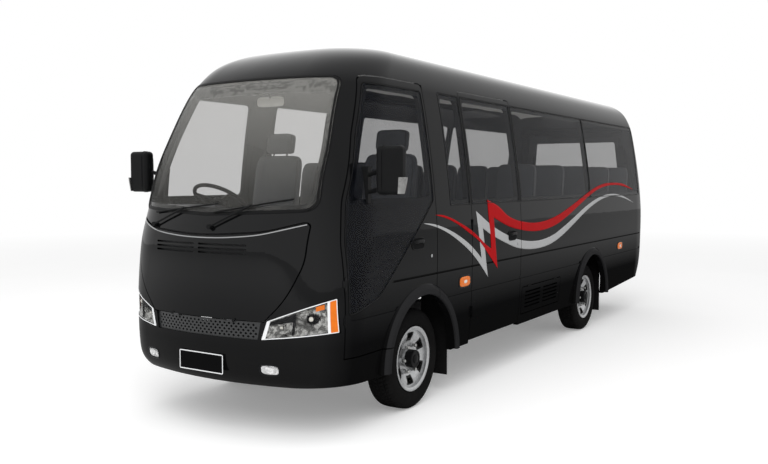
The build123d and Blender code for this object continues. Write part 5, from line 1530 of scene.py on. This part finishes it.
@dataclass
class MirrorDetails:
    """Glass, frame, seam and clear side lens of each door mirror."""

    centre: tuple[float, float, float] = (1.140, -3.120, 1.755)
    half: tuple[float, float, float] = (0.098, 0.042, 0.156)
    margin: float = 0.022
    lens_foot: float = -0.150
    lens_head: float = -0.045

    def build(self) -> None:
        """Dresses both mirrors."""
        for side in Side:
            self.glass(side, f"door_{side.word}")
            self.seam(side, f"door_{side.word}")
            self.lens(side, f"door_{side.word}")

    def glass(self, side: Side, body: str) -> None:
        """Pane and its frame.

        Args:
            side: side of the vehicle.
            body: the body that it rides on.
        """
        cx, cy, cz = self.centre
        size = np.linspace(0, 1, 8)[:, None, None]
        half = np.array([self.half[0] - self.margin, self.half[2] - self.margin])
        flat = squared_circle(64, 0.35)[None] * half * size
        glass = np.stack([cx + flat[..., 0], np.full(flat.shape[:2], cy + self.half[1] + 0.0015),
                          cz + flat[..., 1]], axis=-1)
        shell(f"mirror_glass_{side.word}", side.turned(glass), body, MIRROR, (0, 1, 0), True)
        bead(f"mirror_frame_{side.word}", side.turned(glass[-1]), (0, 1, 0), oval(0.010, 0.008, 10), body,
             TRIM)

    def seam(self, side: Side, body: str) -> None:
        """Thin dark line round the head, where its shell is split.

        Args:
            side: side of the vehicle.
            body: the body that it rides on.
        """
        cx, cy, cz = self.centre
        turn = np.linspace(0, 2 * math.pi, 64, endpoint=False)
        ring = np.stack([np.full_like(turn, cx - 0.045),
                         cy + (self.half[1] + 0.001) * signed_power(np.cos(turn), 0.5),
                         cz + (self.half[2] + 0.001) * signed_power(np.sin(turn), 0.25)], axis=-1)
        out = np.array([side.value, 0, 0]) + 1e-6
        bead(f"mirror_seam_{side.word}", side.turned(ring), out, oval(0.004, 0.004, 6), body, DEEP)

    def lens(self, side: Side, body: str) -> None:
        """Clear lens round the outer lower corner: an upright half tube that tapers to its foot.

        Args:
            side: side of the vehicle.
            body: the body that it rides on.
        """
        cx, cy, cz = self.centre
        level, turn = grid((self.lens_foot, self.lens_head, 16), (-0.75 * math.pi, 0.25 * math.pi, 20))
        share = (level - self.lens_foot) / 0.105
        reach = 0.020 + 0.014 * np.sin(share * math.pi / 2)
        x = cx + self.half[0] - self.margin + reach * np.cos(turn + math.pi / 4) + 0.010 * share
        y = cy - 0.008 + (self.half[1] + 0.003) * np.sin(turn + math.pi / 4) * (0.85 + 0.15 * share)
        sheet = np.stack([x, y, cz + level], axis=-1)
        rows, columns = sheet.shape[:2]
        faces = quads(rows, columns, True).tolist()
        faces.append(list(range(columns))[::-1])
        faces.append(list(range((rows - 1) * columns, rows * columns)))
        piece(f"mirror_lens_{side.word}", side.turned(sheet), faces, body, SIDE_LENS)


# --- Cabin ------------------------------------------------------------------------------------
@dataclass
class Lining:
    """Headlining and side linings."""

    drop: float = 0.010
    fold: float = 0.62
    foot: float = 0.915
    head: float = 1.475
    depth: float = -0.048
    spans: dict[Side, list[tuple[float, float]]] = field(default_factory=lambda: {
        Side.LEFT: [(-2.12, -1.60), (-0.53, 3.33)], Side.RIGHT: [(-2.12, 3.33)]})

    def headlining(self) -> None:
        """Lining under the roof, which sags a little between cross bows."""
        x, y = grid((-0.66, 0.66, 60), (-2.98, 3.24, 156))
        sheet = pressed(np.stack([x, y, np.full(x.shape, 2.2)], axis=-1), ["roof"], "z", 1, self.drop)
        LOG.info("headlining meets the roof between %.3f and %.3f", sheet[..., 2].min(), sheet[..., 2].max())
        sheet[..., 2] -= 0.003 * (1 - np.cos(y * 2 * math.pi / self.fold))
        # its finish glows: painted light
        panel("headlining", sheet, (0, 0, 0.004), LINING_PAINTED_GLOW)

    def sides(self, side: Side) -> None:
        """Lining below the windows of one side, with long shallow waves.

        Args:
            side: side of the vehicle.
        """
        parts = []
        for start, end in self.spans[side]:
            level, along = grid((self.foot, self.head, 24), (start, end, 80))
            skin = SKIN.on(np.stack([along, level], axis=-1), self.depth)
            skin[..., 0] -= 0.004 * np.cos((level - self.foot) * 2 * math.pi / 0.28)
            parts.append(slab(side.turned(skin), (0.004 * side.value, 0, 0)))
        points, faces = joined(parts)
        piece(f"side_lining_{side.word}", points, faces, "body", PANEL)

    def build(self) -> None:
        """Makes the headlining and both side linings."""
        self.headlining()
        for side in Side:
            self.sides(side)


@dataclass
class Pad:
    """A crowned cushion with pulled-in sides, sewn channels and a piped edge."""

    size: tuple[float, float, float]
    channels: int = 3
    crown: float = 0.02
    square: float = 0.32

    def points(self) -> np.ndarray:
        """Grid of the cushion about its own middle.

        Plan = a rounded box, its half sizes times cosine and sine to a power; the height follows the sine
        of the second parameter to a power, the middle is crowned, and channels dip where a cosine peaks.

        Returns:
            The points, PAD_ROWS by PAD_STEPS of them.
        """
        w, d, h = (s / 2 for s in self.size)
        up, turn = np.meshgrid(np.linspace(-math.pi / 2, math.pi / 2, PAD_ROWS),
                               np.linspace(0, 2 * math.pi, PAD_STEPS, endpoint=False), indexing="ij")
        ring = np.cos(up) ** 0.42
        pull = 1 - 0.035 * np.cos(up) ** 6 * np.cos(2 * turn) ** 2
        x = w * ring * signed_power(np.cos(turn), self.square) * pull
        y = d * ring * signed_power(np.sin(turn), self.square) * pull
        z = h * signed_power(np.sin(up), 0.62)
        bulge = (1 - (x / w) ** 2) * (1 - (y / d) ** 2)
        z = z + np.sign(up) * self.crown * bulge * (np.sin(up) > 0)
        phase = x / w * math.pi * self.channels * 0.5 + math.pi * (self.channels % 2) * 0.5
        lines = np.clip(np.cos(phase) * 6 - 5, 0, 1)
        z = z - 0.007 * lines * (np.sin(up) > 0.3) * np.clip(bulge * 6, 0, 1)
        return np.stack([x, y, z], axis=-1)

    def rim(self, up: float = 0.55) -> np.ndarray:
        """Path of the piping, round the cushion at an angle above its middle.

        Args:
            up: the angle.
        Returns:
            Points of the path.
        """
        w, d, h = (s / 2 for s in self.size)
        turn = np.linspace(0, 2 * math.pi, 90, endpoint=False)
        ring = math.cos(up) ** 0.42
        return np.stack([w * ring * signed_power(np.cos(turn), self.square),
                         d * ring * signed_power(np.sin(turn), self.square),
                         np.full_like(turn, h * math.sin(up) ** 0.62)], axis=-1)


@dataclass
class Seats:
    """Padded seats in the cab and the saloon, on tube and plate legs."""

    floor: float = 0.905
    cab_rise: float = 0.330
    saloon_rise: float = 0.290
    last: float = 3.020
    pitch: float = 0.790
    rows: tuple[tuple[str, float, float, int, int], ...] = (("double", -0.445, 0.780, 7, 2),
                                                            ("single", 0.620, 0.430, 5, 1))

    def set_pad(self, name: str, pad: Pad, middle: Sequence[float], tilt: float) -> bpy.types.Object:
        """Places a cushion.

        Args:
            name: its name.
            pad: its shape.
            middle: its middle.
            tilt: degrees that it is turned up from lying flat.
        Returns:
            The cushion.
        """
        angle = math.radians(tilt)
        cosine, sine = math.cos(angle), math.sin(angle)
        turn = np.array([[1, 0, 0], [0, cosine, -sine], [0, sine, cosine]])
        place = np.asarray(middle, dtype=float)
        points = pad.points() @ turn.T + place
        made = piece(name, points, quads(PAD_ROWS, PAD_STEPS, True), "body", CLOTH, angle=60)
        bead(f"{name}_piping", pad.rim() @ turn.T + place, turn[:, 2], oval(0.008, 0.008, 8), "body", PIPING,
             "seat_fabric")
        return made

    def leg(self, x: float, y: float, high: float) -> tuple[np.ndarray, list]:
        """An upright oval leg from the floor: its points and faces."""
        path = np.stack([np.full(6, x), np.full(6, y), np.linspace(self.floor, high, 6)], axis=-1)
        return swept(path, np.array([0.0, 1.0, 0.0]), oval(0.05, 0.028, 12), False)

    def legs(self, name: str, parts: list) -> None:
        """All the legs of one room as a piece."""
        points, faces = joined(parts)
        piece(name, points, faces, "body", CHASSIS)

    def cab(self) -> None:
        """Driver's and passenger's seats."""
        parts: list = []
        made = None
        top = self.floor + self.cab_rise
        for word, x in (("driver", -0.550), ("mate", 0.550)):
            made = self.set_pad(f"{word}_cushion", Pad((0.476, 0.466, 0.126), 3), (x, -2.435, top + 0.062), 0)
            self.set_pad(f"{word}_back", Pad((0.464, 0.550, 0.104), 3), (x, -2.195, top + 0.392), 80)
            self.set_pad(f"{word}_headrest", Pad((0.276, 0.168, 0.086), 0, 0.008),
                         (x, -2.135, top + 0.755), 80)
            for dx in (-0.16, 0.16):
                parts.extend(self.leg(x + dx, y, top + 0.01) for y in (-2.56, -2.28))
            for dx in (-0.07, 0.07):
                path = flowing([(-2.160, top + 0.62), (-2.135, top + 0.70)], 6)
                place = np.concatenate([np.full((6, 1), x + dx), path], axis=1)
                parts.append(swept(place, np.array([1.0, 0, 0]), oval(0.014, 0.014, 10), False))
        self.legs("cab_seat_legs", parts)
        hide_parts("front_seats")

    def saloon(self) -> None:
        """Rows of double seats on the right and single seats on the left."""
        parts: list = []
        made = None
        top = self.floor + self.saloon_rise
        for word, x, width, count, places in self.rows:
            share = width / places
            middles = (x - width / 4, x + width / 4) if places == 2 else (x,)
            for row in range(count):
                y = self.last - row * self.pitch
                for number, middle in enumerate(middles):
                    name = f"{word}_{row}_{number}"
                    made = self.set_pad(f"{name}_cushion", Pad((share - 0.008, 0.424, 0.106), 2),
                                        (middle, y - 0.015, top + 0.054), 0)
                    self.set_pad(f"{name}_back", Pad((share - 0.010, 0.604, 0.094), 2, 0.012),
                                 (middle, y + 0.225, top + 0.360), 82)
                for dx in (-width / 2 + 0.09, width / 2 - 0.09):
                    parts.extend(self.leg(x + dx, y + dy, top + 0.012) for dy in (-0.12, 0.12))
        self.legs("saloon_seat_legs", parts)
        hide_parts("passenger_seats")

    def build(self) -> None:
        """Makes every seat."""
        self.cab()
        self.saloon()


@dataclass
class CabDetails:
    """Inside mirror, wheel guards, and the dark pans behind the grille and the louvred lid."""

    mirror: tuple[float, float, float] = (0.0, -2.93, 2.255)
    guard_x: float = 0.505
    guard_top: float = 0.862
    nose: float = -3.658
    nose_r: float = 2.3

    def build(self) -> None:
        """Makes the inside mirror, the wheel guards and both pans."""
        self.inside_mirror()
        self.guards()
        self.grille_pan()
        self.lid_pan()

    def guards(self) -> None:
        """Upright dark guards inboard of the four wheels, with an arched foot over the axle."""
        parts = []
        for side in Side:
            for axle, reach in ((FRONT_AXLE_Y, 0.44), (REAR_AXLE_Y, 0.46)):
                share, along = grid((0, 1, 6), (-1, 1, 40))
                foot = 0.62 + 0.07 * (1 - along ** 2)
                z = foot + (self.guard_top - foot) * share
                sheet = np.stack([np.full(z.shape, self.guard_x), axle + reach * along, z], axis=-1)
                parts.append(slab(side.turned(sheet), (-0.003 * side.value, 0, 0)))
        points, faces = joined(parts)
        piece("wheel_guards", points, faces, "body", DEEP)

    def lid_pan(self) -> None:
        """Dark pan behind the louvres, which swings with the lid."""
        low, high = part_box("service_lid")
        y, z = grid((low.y + 0.03, high.y - 0.03, 30), (low.z + 0.03, high.z - 0.03, 8))
        sheet = np.stack([np.full(y.shape, low.x - 0.001), y, z], axis=-1)
        panel("lid_pan", sheet, (-0.002, 0, 0), DEEP, "lid")

    def inside_mirror(self) -> None:
        """Wide mirror under the brow: a rounded shell with a pale face, on a stalk."""
        pad = Pad((0.250, 0.075, 0.026), 0, 0.0, 0.5)
        turn = np.array([[1, 0, 0], [0, 0, -1], [0, 1, 0]])
        points = pad.points() @ turn.T + np.array(self.mirror)
        piece("inside_mirror_shell", points, sheet_faces(points, True), "body", PALE_LENS)
        path = np.stack([np.zeros(8), np.linspace(self.mirror[1], -2.99, 8), np.linspace(2.28, 2.40, 8)],
                        axis=-1)
        bead("inside_mirror_stalk", path, (1, 0, 0), oval(0.012, 0.012, 10), "body", TRIM, closed=False)

    def grille_pan(self) -> None:
        """Dark pan behind the mesh, bent to the arc of the nose."""
        x, z = grid((-0.452, 0.452, 40), (0.684, 0.760, 8))
        bow = self.nose + self.nose_r - np.sqrt(self.nose_r ** 2 - x ** 2)
        panel("grille_pan", np.stack([x, bow + 0.054, z], axis=-1), (0, 0.004, 0), DEEP)


# --- Stage ------------------------------------------------------------------------------------
@dataclass
class Studio:
    """Camera, soft lights, pale floor and white surroundings."""

    eye: tuple[float, float, float] = (3.928, -7.657, 1.7005)
    dip: float = 3.646
    turn: float = 32.06
    lens: float = 39.18

    def camera(self) -> None:
        """Sets the scene's camera."""
        data = bpy.data.cameras.new("camera")
        data.lens = self.lens
        data.sensor_width = 36.0
        data.clip_end = 200.0
        camera = bpy.data.objects.new("camera", data)
        camera.location = self.eye
        camera.rotation_euler = (math.radians(90 - self.dip), 0.0, math.radians(self.turn))
        bpy.context.scene.collection.objects.link(camera)
        bpy.context.scene.camera = camera

    def world(self) -> None:
        """White to the eye, in reflections and through glass; softer as a light."""
        world = bpy.data.worlds.new("surroundings")
        shader = Shader("surroundings", world)
        eye, gloss, through = (shader.node("ShaderNodeLightPath", output=f"Is {ray} Ray")
                               for ray in ("Camera", "Glossy", "Transmission"))
        colour = shader.blend((0.70, 0.70, 0.70), (1.0, 1.0, 1.0), eye.top(gloss).top(through))
        shader.node_out(shader.node("ShaderNodeBackground", {}, {"Color": colour}), "ShaderNodeOutputWorld")
        bpy.context.scene.world = world

    def lamp(self, name: str, place: Sequence[float], aim: Sequence[float], size: float,
             power: float) -> None:
        """One soft square light that looks at a point.

        Args:
            name: its name.
            place: where it hangs.
            aim: the point.
            size: its side.
            power: its power in watts.
        """
        data = bpy.data.lights.new(name, "AREA")
        data.size = size
        data.energy = power
        obj = bpy.data.objects.new(name, data)
        obj.location = place
        obj.visible_glossy = False
        way = np.asarray(aim, dtype=float) - np.asarray(place, dtype=float)
        flat = math.hypot(way[0], way[1])
        obj.rotation_euler = (math.atan2(flat, -way[2]), 0.0, math.atan2(way[1], way[0]) - math.pi / 2)
        bpy.context.scene.collection.objects.link(obj)

    def floor(self) -> None:
        """Pale floor that fades to white and keeps the shadow: a disc of rings."""
        turn = np.linspace(0, 2 * math.pi, 96, endpoint=False)
        radius = np.array([0.0, 4.0, 8.0, 16.0, 40.0, 90.0])[:, None]
        flat = np.zeros((len(radius), len(turn)))
        points = np.stack([radius * np.cos(turn), radius * np.sin(turn), flat], axis=-1)
        mesh = bpy.data.meshes.new("floor_disc")
        mesh.from_pydata(points.reshape(-1, 3).tolist(), [], sheet_faces(points, True).tolist())
        obj = bpy.data.objects.new("studio_floor", mesh)
        bpy.context.scene.collection.objects.link(obj)
        tidy(obj, False, (0, 0, 1))
        shader = Shader("studio_floor")
        vector, x, y, _ = shader.place()
        plain = shader.node("ShaderNodeBsdfDiffuse", {}, {"Color": shader.blend(
            (0.86, 0.86, 0.86), (0.90, 0.90, 0.90), shader.noise(vector, 0.7))})
        glow = shader.node("ShaderNodeEmission", {}, {"Color": (1.0, 1.0, 1.0), "Strength": 0.24})
        seen = shader.node("ShaderNodeLightPath", output="Is Camera Ray")
        lit = shader.node("ShaderNodeAddShader", {}, {0: plain, 1: glow})
        near = shader.node("ShaderNodeMixShader", {}, {0: seen, 1: plain, 2: lit})
        far = ((x * x) + (y * y)).root().ramp(9.0, 20.0) * seen
        white = shader.node("ShaderNodeEmission", {}, {"Color": (1.0, 1.0, 1.0), "Strength": 1.0})
        shader.node_out(shader.node("ShaderNodeMixShader", {}, {0: far, 1: near, 2: white}))
        obj.data.materials.append(shader.material)

    def build(self) -> None:
        """Sets up the stage."""
        self.camera()
        self.world()
        self.floor()
        self.lamp("key_light", (5.0, -10.5, 8.5), (0.0, -1.0, 0.8), 7.0, 620.0)
        self.lamp("top_light", (0.0, -4.0, 9.5), (0.0, -2.0, 0.0), 9.0, 220.0)
        bpy.context.scene.view_settings.view_transform = "Standard"


def main() -> None:
    """Builds the stage, dresses the CAD nodes and adds every piece."""
    logging.basicConfig(level=logging.INFO, format="%(name)s: %(message)s")
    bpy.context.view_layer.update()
    Studio().build()
    Panels().dress()
    for part in (Stripes(), Seals(), Headlamps(), Markers(), Tyre(), WheelFace(), DoorFurniture(), Plates(),
                 MirrorDetails(), Lining(), Seats(), CabDetails()):
        part.build()


if __name__ == "__main__":
    main()
